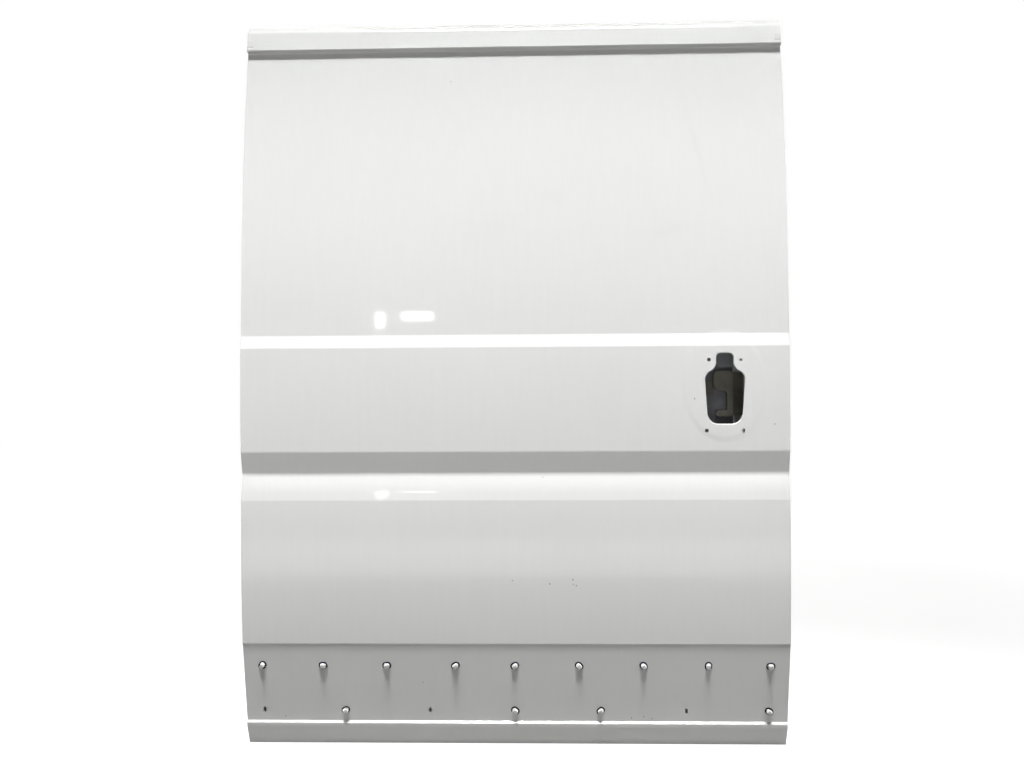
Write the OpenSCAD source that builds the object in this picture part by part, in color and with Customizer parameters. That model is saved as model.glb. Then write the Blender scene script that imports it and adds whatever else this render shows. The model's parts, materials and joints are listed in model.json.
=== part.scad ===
// Side door of a panel van, without a window: pressed outer skin, welded inner frame and trim clips.
// X runs along the door towards its front edge, Y inwards, Z up.
// The origin lies on the seat of the middle roller arm, at the rear edge.
// In the modules, x counts from the middle of the door, y from its widest plane, z from its bottom edge.

/* [Door] */
// Length of the door, rear edge to front edge
door_length = 1310; // [1100:10:1500]
// Height of the door
door_height = 1766; // [1700:2:1900]
// Thickness of the outer skin
skin_wall = 0.9; // [0.7:0.1:1.2]
// Thickness of the inner pressings
frame_wall = 1; // [0.8:0.1:1.5]
// Thickness of the reinforcing plates
plate_wall = 2; // [1.5:0.5:3]
// Gap between sheets that lie on each other
sheet_gap = 0.15; // [0.1:0.05:0.3]
// Width of the folded hem
hem_width = 12; // [8:1:16]

/* [Outer form] */
// Depth of the bottom edge behind the widest plane
bottom_depth = 68; // [56:1:76]
// Depth of the top of the upper panel behind the widest plane
top_depth = 89; // [76:1:104]
// Height of the lip below the trim ledge
lip_height = 47; // [42:1:52]
// Depth of the trim ledge
ledge_depth = 4; // [3:0.5:6]
// Height of the crease above the trim band
trim_crease = 256; // [240:2:270]
// Depth of the step at that crease
trim_step = 7; // [4:0.5:9]
// Height of the sharp shoulder line of the lower panel
shoulder_line = 601; // [585:2:615]
// Height of the middle of the styling groove
groove_line = 662; // [654:1:670]
// Depth of the styling groove
groove_depth = 14.5; // [8:0.5:18]
// Height of the lower edge of the handle band
band_bottom = 718; // [710:1:726]
// Height of the upper edge of the handle band
band_top = 966; // [956:1:980]
// Depth of the ledge over the handle band
band_step = 8; // [5:1:10]
// Bow of the upper panel between the handle band and the drip lip
upper_bow = 18.1; // [14:0.1:19]
// How far the drip lip lies below the top edge
drip_drop = 68; // [60:1:106]
// How far the drip lip stands out from the panel below it
drip_out = 13.5; // [8:0.5:18]

/* [Handle opening] */
// Distance of the handle opening from the front edge
handle_inset = 153; // [140:1:170]
// Width of the handle opening
handle_width = 93; // [88:1:98]
// Height of the handle opening
handle_height = 167; // [155:1:175]
// Width of its neck
neck_width = 40; // [30:1:50]
// Height of its lowest point
handle_bottom = 781; // [770:1:790]
// Width of the rolled lip around it
handle_lip = 6; // [4:1:8]
// Diameter of the two rear screw holes
screw_large = 9; // [6:0.5:10]
// Diameter of the two front screw holes
screw_small = 6.5; // [5:0.5:8]
// Spacing of the upper screw holes along the door
screw_span = 75; // [70:1:80]
// Spacing of the lower screw holes along the door
low_screw_span = 87; // [82:1:94]
// Spacing of the screw holes in height
screw_rise = 168; // [164:1:174]

/* [Trim fixings] */
// Height of the upper row
upper_row = 203; // [190:1:215]
// Pitch of the upper row
upper_pitch = 154; // [140:1:160]
// How far the clip behind the middle one is off that pitch
upper_shift = 11.5; // [0:0.5:20]
// Height of the lower row
lower_row = 89; // [78:1:100]
// Pitch of the lower row
lower_pitch = 206; // [190:1:230]
// Distance of the outermost clips from the edges of the door
row_inset = 45.5; // [40:0.5:60]
// Width of a clip slot
slot_width = 7; // [6:0.5:8]
// Height of a clip slot
slot_height = 12; // [10:0.5:14]
// Length of the clip head
clip_length = 13; // [10:0.5:14]
// Width of the clip head
clip_width = 11; // [9:0.5:12]
// Length of the seal ring
seal_length = 21.5; // [19:0.5:24]
// Width of the seal ring
seal_width = 17; // [15:0.5:18]

/* [Inner frame] */
// Width of the front and rear posts
post_width = 107; // [90:1:125]
// Height of the bottom rail
bottom_rail_height = 120; // [100:2:150]
// Height of the top rail
top_rail_height = 110; // [90:2:130]
// Height of the lower edge of the waist panel
waist_bottom = 600; // [580:2:620]
// Height of its upper edge
waist_top = 1000; // [980:2:1040]
// Depth of the inner face at the bottom
inner_bottom = 104; // [96:1:115]
// Depth of the inner face at the waist
inner_waist = 77; // [72:1:84]
// Depth of the inner face at the top
inner_top = 136; // [128:1:146]
// Depth of the stiffening returns round the openings
return_depth = 14; // [8:1:20]
// Width of an access opening
access_width = 280; // [200:5:290]
// Height of an access opening
access_height = 310; // [240:5:330]
// Corner radius of the access openings
access_radius = 45; // [25:1:60]

/* [Beam and braces] */
// Outer diameter of the side impact beam
beam_diameter = 34; // [28:1:40]
// Wall of the side impact beam
beam_wall = 2.5; // [2:0.25:4]
// Height of the beam
beam_height = 400; // [360:2:460]
// Places of the two braces, as shares of the way from the handle band up to the drip lip
brace_places = [0.265, 0.607];
// Height of a brace section
brace_size = 56; // [40:2:70]
// Depth of a brace section
brace_depth = 24; // [16:1:30]

/* [Roller arm and latch seats] */
// Height of the middle roller arm seat
seat_height = 850; // [820:2:880]
// Size of the middle seat
seat_size = 84; // [70:2:90]
// Spacing of the bolts in the middle seat along the door
seat_bolt_x = 48; // [36:2:56]
// Spacing of the bolts in the middle seat in height
seat_bolt_z = 56; // [40:2:60]
// Bolt hole diameter of the roller arm seats
bolt_hole = 8.4; // [6.4:0.1:9]
// Spacing of the bolts of the upper and lower roller arms
arm_bolt_x = 60; // [40:2:70]
// Screw hole diameter of the latches
latch_hole = 6.6; // [5.5:0.1:8]
// Spacing of the latch screws in height
latch_rise = 70; // [50:2:80]

/* [Hidden] */

// Colours
paint = [0.93, 0.93, 0.91];
primer = [0.62, 0.66, 0.70];
steel = [0.55, 0.55, 0.52];
rubber = [0.10, 0.11, 0.14];
plastic = [0.95, 0.95, 0.93];

// Facets of the drawn circles
$fn = 48;
// Length of one straight piece of a long arc
arc_piece = 60;
// Turn of one straight piece of a short arc
arc_turn = 9;

half = door_length / 2;
post_x = half - hem_width - 3;
open_x = post_x - post_width;
top_inside = door_height - 14;
top_rail_z = top_inside - top_rail_height;
floor_z = hem_width + 6;
flange_in = skin_wall + sheet_gap;
hem_in = flange_in + frame_wall + sheet_gap;

drip_line = door_height - drip_drop;
upper_radius = pow(drip_line - band_top, 2) / (8 * upper_bow);
brace_heights = [for (p = brace_places) band_top + p * (drip_line - band_top)];

// Corners of the outer form from bottom to top: depth, height and radius of each.
// The line runs on past both ends, and each sheet is cut off level.
overrun = 6;
band_crown = 1.2;
lip_lean = 22.5;
trim_rise = trim_crease - lip_height - 12;
outer_form = [
    [bottom_depth + lip_lean * overrun / lip_height, -overrun, 0],
    [bottom_depth - lip_lean, lip_height, 3],
    [bottom_depth - lip_lean + ledge_depth, lip_height + 11, 2.5],
    [bottom_depth - lip_lean - 15.7, lip_height + trim_rise / 2, 2600],
    [trim_step + 7, trim_crease - 12, 4],
    [7, trim_crease, 6],
    [2.1, (trim_crease + shoulder_line) / 2 - 9, 11500],
    [band_crown, shoulder_line, 1.2],
    [groove_depth * 0.32, (shoulder_line + groove_line) / 2 - 5, 200],
    [groove_depth, groove_line, 40],
    [band_crown, band_bottom, 40],
    [-band_crown, (band_bottom + band_top) / 2, 5600],
    [band_crown, band_top, 12],
    [band_crown + band_step, band_top + 30, 12],
    [band_crown + band_step + 9.2, (band_top + drip_line) / 2 + 22, upper_radius],
    [top_depth, drip_line, 3],
    [top_depth - drip_out + 3.5, drip_line + 6, 2.5],
    [top_depth - drip_out, drip_line + 16, 4],
    [top_depth - 1, door_height - 13, 12],
    [top_depth + 14 + overrun * 15 / 13, door_height + overrun, 0],
];

// Corners of the inner face from bottom to top; it is plumb around the middle roller arm
plumb_above = 130;
inner_form = [
    [inner_bottom, -overrun, 0],
    [inner_waist, 330, 1600],
    [inner_waist, seat_height + plumb_above, 2200],
    [inner_top, door_height + overrun, 0],
];

function unit(v) = v / norm(v);
function turned(v, a) = [v[0] * cos(a) - v[1] * sin(a), v[0] * sin(a) + v[1] * cos(a)];
function flat(p) = [p[0], p[1]];
function backwards(path) = [for (i = [len(path) - 1:-1:0]) path[i]];
function turn_at(a, b, c) =
    let (u = unit(b - a), v = unit(c - b))
    atan2(u[0] * v[1] - u[1] * v[0], u[0] * v[0] + u[1] * v[1]);

// One rounded corner b between a and c, as points along its arc
function corner_arc(a, b, c, r) =
    let (turn = turn_at(a, b, c), u = unit(b - a))
    (r < 0.6 || abs(turn) < 0.05) ? [b] :
    let (
        start = b - u * r * tan(abs(turn) / 2),
        centre = start + sign(turn) * r * [-u[1], u[0]],
        n = ceil(max(2, abs(turn) / arc_turn, r * abs(turn) * PI / 180 / arc_piece))
    )
    [for (i = [0:n]) centre + turned(start - centre, turn * i / n)];

// A list of corners as the points of its rounded line
function rounded(form) =
    let (last = len(form) - 1)
    [for (i = [0:last])
        each (i == 0 || i == last) ? [flat(form[i])] :
            corner_arc(flat(form[i - 1]), flat(form[i]), flat(form[i + 1]), form[i][2])];

// The same corners moved inwards by d, square to the line
function inward(form, d) =
    let (last = len(form) - 1)
    [for (i = [0:last])
        let (
            a = flat(form[max(i - 1, 0)]),
            b = flat(form[i]),
            c = flat(form[min(i + 1, last)]),
            u = unit(i == 0 ? c - b : b - a),
            v = unit(i == last ? b - a : c - b),
            n = [u[1], -u[0]],
            m = [v[1], -v[0]],
            side = u[0] * v[1] - u[1] * v[0],
            move = (n + m) * d / (1 + n[0] * m[0] + n[1] * m[1])
        )
        [b[0] + move[0], b[1] + move[1], form[i][2] == 0 ? 0 : form[i][2] + sign(side) * d]];

// Depth of a line at a height, the line moved in depth, and its stretch between two heights
function depth_at(path, z) = lookup(z, [for (p = path) [p[1], p[0]]]);
function shifted(path, d) = [for (p = path) [p[0] + d, p[1]]];
function stretch(path, z0, z1) = concat(
    [[depth_at(path, z0), z0]],
    [for (p = path) if (p[1] > z0 + 0.01 && p[1] < z1 - 0.01) p],
    [[depth_at(path, z1), z1]]
);

outer_line = rounded(outer_form);
skin_inside = rounded(inward(outer_form, skin_wall));
flange_line = rounded(inward(outer_form, flange_in));
flange_inside = rounded(inward(outer_form, flange_in + frame_wall));
hem_line = rounded(inward(outer_form, hem_in));
hem_inside = rounded(inward(outer_form, hem_in + skin_wall));
hem_middle = rounded(inward(outer_form, (skin_wall + hem_in) / 2));
inner_line = rounded(inner_form);
inner_front = rounded(inward(inner_form, -frame_wall));

function outer_y(z) = depth_at(outer_line, z);
function inner_y(z) = depth_at(inner_line, z);
function lean_at(z) = atan(depth_at(outer_line, z + 4) / 8 - depth_at(outer_line, z - 4) / 8);

// Depths from and to which holes are cut in the skin and the plate behind it
cut_front = -20;
cut_back = 40;

// Places every piece about the origin, on the middle roller arm seat
seat_out = 3;
seat_x = -(open_x + post_width / 2);
seat_y = inner_y(seat_height) + seat_out;
module from_seat() {
    translate([-seat_x, -seat_y, -seat_height]) children();
}

// A section in depth and height, drawn out along the door
module along(x0, x1) {
    translate([x0, 0, 0]) rotate([90, 0, 90]) linear_extrude(x1 - x0) children();
}

// The space between two lines, between two heights
module between(front, back, z0, z1) {
    polygon(concat(stretch(front, z0, z1), backwards(stretch(back, z0, z1))));
}

// A shape in length and height, drawn out in depth
module through(y0, y1) {
    translate([0, y1, 0]) rotate([90, 0, 0]) linear_extrude(y1 - y0) children();
}

module round_hole(x, z, d, y0, y1) {
    translate([x, y1, z]) rotate([90, 0, 0]) cylinder(d = d, h = y1 - y0);
}

module rounded_rect(w, h, r) {
    square([w - 2 * r, h], center = true);
    square([w, h - 2 * r], center = true);
    for (i = [-1, 1], j = [-1, 1]) translate([i * (w / 2 - r), j * (h / 2 - r)]) circle(r);
}

// Sizes of the handle opening
handle_x = half - handle_inset;
handle_mid = handle_bottom + handle_height / 2;
shoulder_radius = 23;
toe_radius = 26;
toe_reach = 41.5;
fillet_radius = 24;
neck_corner = 10;
shoulder = [handle_width / 2 - shoulder_radius, handle_height - 63];
toe = [toe_reach - toe_radius, toe_radius];
fillet_x = neck_width / 2 + fillet_radius;
fillet_rise = sqrt(pow(shoulder_radius + fillet_radius, 2) - pow(fillet_x - shoulder[0], 2));
fillet = [fillet_x, shoulder[1] + fillet_rise];
screw_drop = 15.5;
screw_low = handle_mid - screw_rise / 2 - screw_drop;

// Unit normal of the line that touches two circles on their right
function side_normal(a, ra, b, rb) =
    let (span = norm(b - a), u = (b - a) / span, s = (ra - rb) / span)
    s * u + sqrt(1 - s * s) * [-u[1], u[0]];

// Outline of the handle opening, grown all round by g
module handle_outline(g = 0) {
    n = side_normal(shoulder, shoulder_radius, toe, toe_radius);
    right = [
        shoulder + [0, shoulder_radius + g],
        shoulder + n * (shoulder_radius + g),
        toe + n * (toe_radius + g),
        [toe[0], -g],
    ];
    translate([handle_x, handle_bottom]) {
        polygon(concat(right, [for (i = [3:-1:0]) [-right[i][0], right[i][1]]]));
        for (side = [-1, 1]) {
            translate([side * shoulder[0], shoulder[1]]) circle(shoulder_radius + g);
            translate([side * toe[0], toe[1]]) circle(toe_radius + g);
            translate([side * (neck_width / 2 - neck_corner), handle_height - neck_corner])
                circle(neck_corner + g);
        }
        difference() {
            polygon([shoulder, fillet, [-fillet[0], fillet[1]], [-shoulder[0], shoulder[1]]]);
            for (side = [-1, 1]) translate([side * fillet[0], fillet[1]]) circle(fillet_radius - g);
        }
        translate([-neck_width / 2 - g, fillet[1] - 1])
            square([neck_width + 2 * g, handle_height - neck_corner - fillet[1] + 1]);
        translate([-neck_width / 2 + neck_corner, handle_height - neck_corner - 1])
            square([neck_width - 2 * neck_corner, neck_corner + 1 + g]);
    }
}

// The four screw holes around it, cut from y0 to y1; the one low at the front is a slot
screw_play = 3.5;
module handle_screws(y0, y1) {
    high = screw_low + screw_rise;
    round_hole(handle_x - screw_span / 2, high, screw_large, y0, y1);
    round_hole(handle_x + screw_span / 2, high, screw_small, y0, y1);
    round_hole(handle_x - low_screw_span / 2, screw_low, screw_large, y0, y1);
    for (k = [-1, 1])
        round_hole(handle_x + low_screw_span / 2, screw_low + k * screw_play / 2, screw_small, y0, y1);
    through(y0, y1) translate([handle_x + low_screw_span / 2, screw_low])
        square([screw_small, screw_play], center = true);
}

// Places of the trim clips. Three places of the lower row have lost their clip.
row_reach = half - row_inset;
upper_inner = [for (i = [-3:3]) i * upper_pitch + (i == -1 ? upper_shift : 0)];
upper_places = concat([-row_reach], upper_inner, [row_reach]);
lower_all = concat([-row_reach], [for (i = [-2:2]) i * lower_pitch], [row_reach]);
lower_filled = [lower_all[1], lower_all[3], lower_all[4], lower_all[6]];

// How each clip is turned in its slot, anticlockwise from outside
upper_turns = [60, 0, 2, 32, 35, -45, -52, 88, 4];
lower_turns = [30, -40, 45, -35];

// Clips: room under the seal, thickness of seal and flange, reach of head and stem
seat_clearance = 0.2;
seal_wall = 2.4;
seal_rim = 3;
seal_corner = 7.5;
clip_flange = 1.6;
clip_out = 7;
clip_in = 9;
clip_corner = 2.2;

module clip_slots(places, z) {
    y0 = outer_y(z) - clip_in;
    y1 = outer_y(z) + clip_in;
    straight = slot_height - slot_width;
    for (x = places) {
        for (k = [-1, 1]) round_hole(x, z + k * straight / 2, slot_width, y0, y1);
        through(y0, y1) translate([x, z]) square([slot_width, straight], center = true);
    }
}

// Stands a clip on the skin at its place, square to the surface and pointing outwards along Z
module on_skin(x, z) {
    translate([x, outer_y(z), z]) rotate([90 - lean_at(z), 0, 0]) children();
}

module trim_clip(turn) {
    flange_z = seat_clearance + seal_wall;
    stem_w = slot_width - 0.8;
    rotate([0, 0, turn]) {
        translate([0, 0, flange_z]) linear_extrude(clip_flange)
            rounded_rect(seal_length - seal_rim, seal_width - seal_rim, seal_corner - seal_rim / 2);
        translate([0, 0, flange_z + clip_flange / 2]) linear_extrude(clip_flange / 2 + clip_out)
            rounded_rect(clip_length, clip_width, clip_corner);
    }
    translate([-stem_w / 2, -stem_w / 2, -clip_in])
        cube([stem_w, stem_w, clip_in + flange_z + clip_flange / 3]);
}

module clip_seal(turn) {
    hole = [seal_length - 2 * seal_rim, seal_width - 2 * seal_rim];
    rotate([0, 0, turn]) translate([0, 0, seat_clearance]) linear_extrude(seal_wall) difference() {
        rounded_rect(seal_length, seal_width, seal_corner);
        rounded_rect(hole[0], hole[1], seal_corner - seal_rim);
    }
}

// Outer skin with its folded hems, the handle opening and the trim slots
module outer_skin() {
    over_top = door_height + overrun / 2;
    color(paint) from_seat() difference() {
        union() {
            difference() {
                along(-half, half) between(outer_line, hem_inside, 0, door_height);
                along(-half + skin_wall, half - skin_wall)
                    between(skin_inside, hem_line, skin_wall, over_top);
                along(-half + hem_width, half - hem_width)
                    between(hem_middle, shifted(hem_inside, hem_in), hem_width, over_top);
            }
            through(outer_y(handle_mid) + skin_wall / 3, handle_lip) handle_outline(skin_wall);
        }
        through(cut_front, cut_back) handle_outline();
        handle_screws(cut_front, cut_back);
        clip_slots(upper_places, upper_row);
        clip_slots(lower_all, lower_row);
    }
}

// Plate behind the handle opening
support_reach = 68;
support_low = 22;
support_high = 16;
lip_clearance = 1;
module handle_reinforcement() {
    back = rounded(inward(outer_form, flange_in + plate_wall));
    color(steel) from_seat() difference() {
        along(handle_x - support_reach, handle_x + support_reach)
            between(flange_line, back, screw_low - support_low, screw_low + screw_rise + support_high);
        through(cut_front, cut_back) handle_outline(skin_wall + lip_clearance);
        handle_screws(cut_front, cut_back);
    }
}

// The inner face of the frame, its walls to the skin and its returns
module face(x0, x1, z0, z1) {
    along(x0, x1) between(inner_front, inner_line, z0, z1);
}
module wall(x0, x1, z0, z1) {
    along(x0, x1) between(flange_line, inner_line, z0, z1);
}
module edge_return(x0, x1, z0, z1) {
    along(x0, x1) between(shifted(inner_line, -return_depth), inner_line, z0, z1);
}
module hem_flange(x0, x1, z0, z1) {
    along(x0, x1) between(flange_line, flange_inside, z0, z1);
}

// A rib pressed out of the inner face: its shell, and the hollow in its front
rib_out = 4;
rib_radius = 12;
module rib_body(size, radius, x, z, front, back) {
    intersection() {
        through(inner_y(z) - return_depth - size[1] / 4, inner_y(z) + return_depth + size[1] / 4)
            translate([x, z]) rounded_rect(size[0], size[1], radius);
        along(x - size[0], x + size[0]) between(front, back, z - size[1], z + size[1]);
    }
}
module rib_shell(size, x, z) {
    rib_body(size, rib_radius, x, z, shifted(inner_line, -frame_wall / 2), shifted(inner_line, rib_out));
}
module rib_hollow(size, x, z) {
    hollow = [size[0] - 2 * frame_wall, size[1] - 2 * frame_wall];
    front = shifted(inner_front, -frame_wall);
    rib_body(hollow, rib_radius - frame_wall, x, z, front, shifted(inner_front, rib_out));
}

// Seat for the middle roller arm, with its bolt holes
module seat_bolts(y0, y1) {
    for (i = [-1, 1], j = [-1, 1])
        round_hole(seat_x + i * seat_bolt_x / 2, seat_height + j * seat_bolt_z / 2, bolt_hole, y0, y1);
}

// Latches: height, opening for the bolt and plate behind the wall
latch_z = 850;
latch_y = (outer_y(latch_z) + inner_y(latch_z)) / 2;
latch_gap = [34, 40];
latch_plate_size = [54, latch_rise + 40];
latch_cut = 10;
module latch_cuts(x) {
    for (j = [-1, 1]) translate([x - latch_cut, latch_y, latch_z + j * latch_rise / 2])
        rotate([0, 90, 0]) cylinder(d = latch_hole, h = 2 * latch_cut);
    along(x - latch_cut, x + latch_cut)
        translate([latch_y, latch_z]) rounded_rect(latch_gap[0], latch_gap[1], 5);
}

module post(z0, z1) {
    face(open_x, post_x, z0, z1);
    wall(post_x - frame_wall, post_x, z0, z1);
    hem_flange(post_x - frame_wall, half - skin_wall - sheet_gap, z0, z1);
    edge_return(open_x, open_x + frame_wall, z0, z1);
}

// Bolts of the upper and lower roller arms, at the front corners
arm_cut = 20;
arm_x = open_x + post_width / 2 - arm_bolt_x / 2;
upper_arm_z = top_inside - top_rail_height / 2;
lower_arm_z = floor_z + bottom_rail_height / 2;
module arm_bolts(z) {
    for (i = [-1, 1])
        round_hole(arm_x + i * arm_bolt_x / 2, z, bolt_hole, inner_y(z) - arm_cut, inner_y(z) + arm_cut);
}

post_z0 = bottom_rail_height + sheet_gap;
post_z1 = top_rail_z - sheet_gap;
post_holes = [300, 520, band_top + 94, brace_heights[1] + 70];
post_hole_size = [44, 84];
post_hole_radius = 20;
module post_openings() {
    for (z = post_holes) through(inner_y(z) - return_depth, inner_y(z) + return_depth)
        translate([(open_x + post_x) / 2, z])
            rounded_rect(post_hole_size[0], post_hole_size[1], post_hole_radius);
}

module front_post() {
    color(paint) from_seat() difference() {
        post(post_z0, post_z1);
        latch_cuts(post_x);
        post_openings();
    }
}

module rear_post() {
    color(paint) from_seat() difference() {
        mirror([1, 0, 0]) post(post_z0, post_z1);
        latch_cuts(-post_x);
        seat_bolts(seat_y - return_depth, seat_y + return_depth);
        mirror([1, 0, 0]) post_openings();
    }
}

// Corners of a pressed section, with its thickness
function sheet(form, t) = concat(rounded(form), backwards(rounded(inward(form, t))));

// Ribs of the rails, behind the roller arm plates
rail_rib = [900, 34];
rail_rib_x = -60;
module top_rail() {
    color(paint) from_seat() {
        difference() {
            union() {
                face(-post_x, post_x, top_rail_z, top_inside);
                rib_shell(rail_rib, rail_rib_x, upper_arm_z);
            }
            rib_hollow(rail_rib, rail_rib_x, upper_arm_z);
            arm_bolts(upper_arm_z);
        }
        for (side = [0, 1]) mirror([side, 0, 0]) {
            wall(post_x - frame_wall, post_x, top_rail_z, top_inside);
            hem_flange(post_x - frame_wall, half - skin_wall - sheet_gap, top_rail_z, top_inside);
        }
        wall(-post_x, post_x, top_inside - frame_wall, top_inside);
        edge_return(-open_x, open_x, top_rail_z, top_rail_z + frame_wall);
    }
}

module bottom_rail() {
    color(paint) from_seat() {
        difference() {
            union() {
                face(-post_x, post_x, floor_z, bottom_rail_height);
                rib_shell(rail_rib, rail_rib_x, lower_arm_z);
            }
            rib_hollow(rail_rib, rail_rib_x, lower_arm_z);
            arm_bolts(lower_arm_z);
        }
        for (side = [0, 1]) mirror([side, 0, 0]) {
            wall(post_x - frame_wall, post_x, floor_z, bottom_rail_height);
            hem_flange(post_x - frame_wall, half - skin_wall - sheet_gap, floor_z, bottom_rail_height);
        }
        wall(-post_x, post_x, floor_z, floor_z + frame_wall);
        hem_flange(-post_x, post_x, skin_wall + sheet_gap, floor_z + frame_wall);
    }
}

// Panels of the inner frame between the posts
panel_x = open_x - sheet_gap;
access_z = (bottom_rail_height + waist_bottom) / 2;
access_pitch = 2 * panel_x / 3;
panel_rib = [210, 26];
module access_opening(i, grow = 0) {
    translate([i * access_pitch, access_z])
        rounded_rect(access_width + 2 * grow, access_height + 2 * grow, access_radius + grow);
}

// One of the three panels below the waist, each with an access opening between two ribs
module access_panel(i) {
    y0 = inner_waist - 2 * return_depth;
    y1 = inner_bottom + return_depth;
    x = i * access_pitch;
    reach = access_pitch / 2 - sheet_gap / 2;
    z0 = bottom_rail_height + sheet_gap;
    z1 = waist_bottom - sheet_gap;
    rib_heights = [
        (z0 + access_z - access_height / 2) / 2,
        (z1 + access_z + access_height / 2) / 2,
    ];
    color(paint) from_seat() difference() {
        union() {
            face(x - reach, x + reach, z0, z1);
            intersection() {
                edge_return(x - reach + 1, x + reach - 1, z0 + 1, z1 - 1);
                through(y0, y1) access_opening(i, frame_wall);
            }
            for (z = rib_heights) rib_shell(panel_rib, x, z);
        }
        for (z = rib_heights) rib_hollow(panel_rib, x, z);
        through(y0, y1) access_opening(i);
    }
}
module rear_access_panel() {
    access_panel(-1);
}
module middle_access_panel() {
    access_panel(0);
}
module front_access_panel() {
    access_panel(1);
}

// Waist panel, with a row of openings between two ribs behind the handle
waist_holes = [-360, -180, 0, 180];
waist_hole_z = 760;
waist_hole_size = [110, 150];
waist_hole_radius = 30;
waist_rib = [680, 36];
waist_rib_x = -90;
waist_rib_heights = [640, 890];

// Guard behind the neck of the handle opening: a sheet on a shelf from the waist panel
guard_left = handle_x - 10.8;
guard_low = handle_bottom + handle_height - 31.7;
guard_size = [54, 44];
guard_shelf = 31.5;
guard_radius = 7.5;
guard_y = 52;
module neck_guard() {
    through(guard_y, guard_y + frame_wall)
        translate([guard_left + guard_size[0] / 2, guard_low + guard_size[1] / 2])
            rounded_rect(guard_size[0], guard_size[1], guard_radius);
    depth = inner_y(guard_low + guard_size[1]) - frame_wall / 2 - guard_y;
    translate([guard_left + guard_radius, guard_y, guard_low + guard_size[1] - frame_wall])
        cube([guard_shelf, depth, frame_wall]);
}

module waist_panel() {
    color(primer) from_seat() difference() {
        union() {
            face(-panel_x, panel_x, waist_bottom, waist_top);
            edge_return(-panel_x, panel_x, waist_top - frame_wall, waist_top);
            for (z = waist_rib_heights) rib_shell(waist_rib, waist_rib_x, z);
            neck_guard();
        }
        for (z = waist_rib_heights) rib_hollow(waist_rib, waist_rib_x, z);
        for (x = waist_holes)
            through(inner_waist - return_depth, inner_waist + return_depth) translate([x, waist_hole_z])
                rounded_rect(waist_hole_size[0], waist_hole_size[1], waist_hole_radius);
    }
}

// Pressing that carries the lock control behind the handle opening: a raised block, column and sill
// round a window, a strip at a lower level, a wing that leans back, and flanges to the frame
lock_size = [47, 111];
lock_block = [48, 14];
lock_column = [14, 3];
lock_sill = [40, 14.5, 4];
lock_bends = [9, 5];
lock_hole = [5.5, 4.5];
lock_strip = [23, 36];
lock_strip_drop = 59;
lock_wing = [25, 6];
lock_wing_rim = 4;
lock_flange = [8, 6];
lock_out = 17;
lock_level = 9;
lock_right = handle_x + 28.5;
lock_low = handle_bottom + 15.5;
lock_top = lock_low + lock_size[1];
lock_left = lock_right - lock_size[0];
module inside_corner(x, z, radius, side) {
    translate([x - radius, z - (side < 0 ? radius : 0)]) difference() {
        square([radius + plate_wall / 2, radius]);
        translate([0, side < 0 ? 0 : radius]) circle(r = radius);
    }
}
module lock_outline(g = 0) {
    column_left = lock_right - lock_column[0] - g;
    translate([lock_left + lock_size[0] / 2, lock_top - lock_block[0] / 2])
        rounded_rect(lock_size[0] + 2 * g, lock_block[0] + 2 * g, lock_block[1] + g);
    translate([lock_right - lock_column[0] / 2, lock_low + lock_size[1] / 2])
        rounded_rect(lock_column[0] + 2 * g, lock_size[1] + 2 * g, lock_column[1] + g);
    translate([lock_right - lock_sill[0] / 2, lock_low + lock_sill[1] / 2])
        rounded_rect(lock_sill[0] + 2 * g, lock_sill[1] + 2 * g, lock_sill[2] + g);
    inside_corner(column_left, lock_top - lock_block[0] - g, lock_bends[0] - g, -1);
    inside_corner(column_left, lock_low + lock_sill[1] + g, lock_bends[1] - g, 1);
}
module lock_mounting_plate() {
    front = inner_y(handle_mid) - frame_wall - lock_out;
    seat = inner_y(handle_mid) - frame_wall - sheet_gap;
    level = front + lock_level;
    wing = [lock_right + lock_wing[0], front + plate_wall + lock_wing[1]];
    color(steel) from_seat() {
        difference() {
            union() {
                through(front, front + plate_wall) lock_outline();
                through(front, level + plate_wall) difference() {
                    lock_outline();
                    lock_outline(-plate_wall);
                }
            }
            round_hole(lock_right - lock_hole[1] / 2, lock_top - lock_hole[1], lock_hole[0], front - 1, seat);
        }
        through(level, level + plate_wall)
            translate([lock_left + plate_wall / 2 - lock_strip[0], lock_top - lock_strip_drop])
                square(lock_strip);
        translate([0, 0, lock_low + lock_wing_rim]) linear_extrude(lock_size[1] - 2 * lock_wing_rim) polygon([
            [lock_right - plate_wall / 2, front + plate_wall * 1.25],
            [lock_right + plate_wall / 2, front + plate_wall * 1.25],
            wing,
            [wing[0], seat],
            [wing[0] - plate_wall, seat],
            [wing[0] - plate_wall, wing[1] + plate_wall],
            [lock_right - plate_wall / 2, front + plate_wall * 2.5],
        ]);
        for (z = [lock_low + lock_flange[1], lock_top - lock_flange[1] - plate_wall])
            translate([lock_right - (lock_column[0] + lock_flange[0]) / 2, front + plate_wall / 2, z])
                cube([lock_flange[0], seat - front - plate_wall / 2, plate_wall]);
    }
}

// Braces behind the upper panel: hat sections whose crown faces the skin
brace_foot = 14;
brace_slope = 8;
brace_lap = 40;
module brace(z) {
    y = inner_y(z) - frame_wall - sheet_gap;
    low = z - brace_size / 2;
    high = z + brace_size / 2;
    form = [
        [y - frame_wall, low - brace_foot, 0],
        [y - frame_wall, low, 3],
        [y - brace_depth, low + brace_slope, 4],
        [y - brace_depth, high - brace_slope, 4],
        [y - frame_wall, high, 3],
        [y - frame_wall, high + brace_foot, 0],
    ];
    along(-open_x - brace_lap, open_x + brace_lap) polygon(sheet(form, frame_wall));
}

module lower_cross_brace() {
    color(paint) from_seat() brace(brace_heights[0]);
}
module upper_cross_brace() {
    color(paint) from_seat() brace(brace_heights[1]);
}

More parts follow.
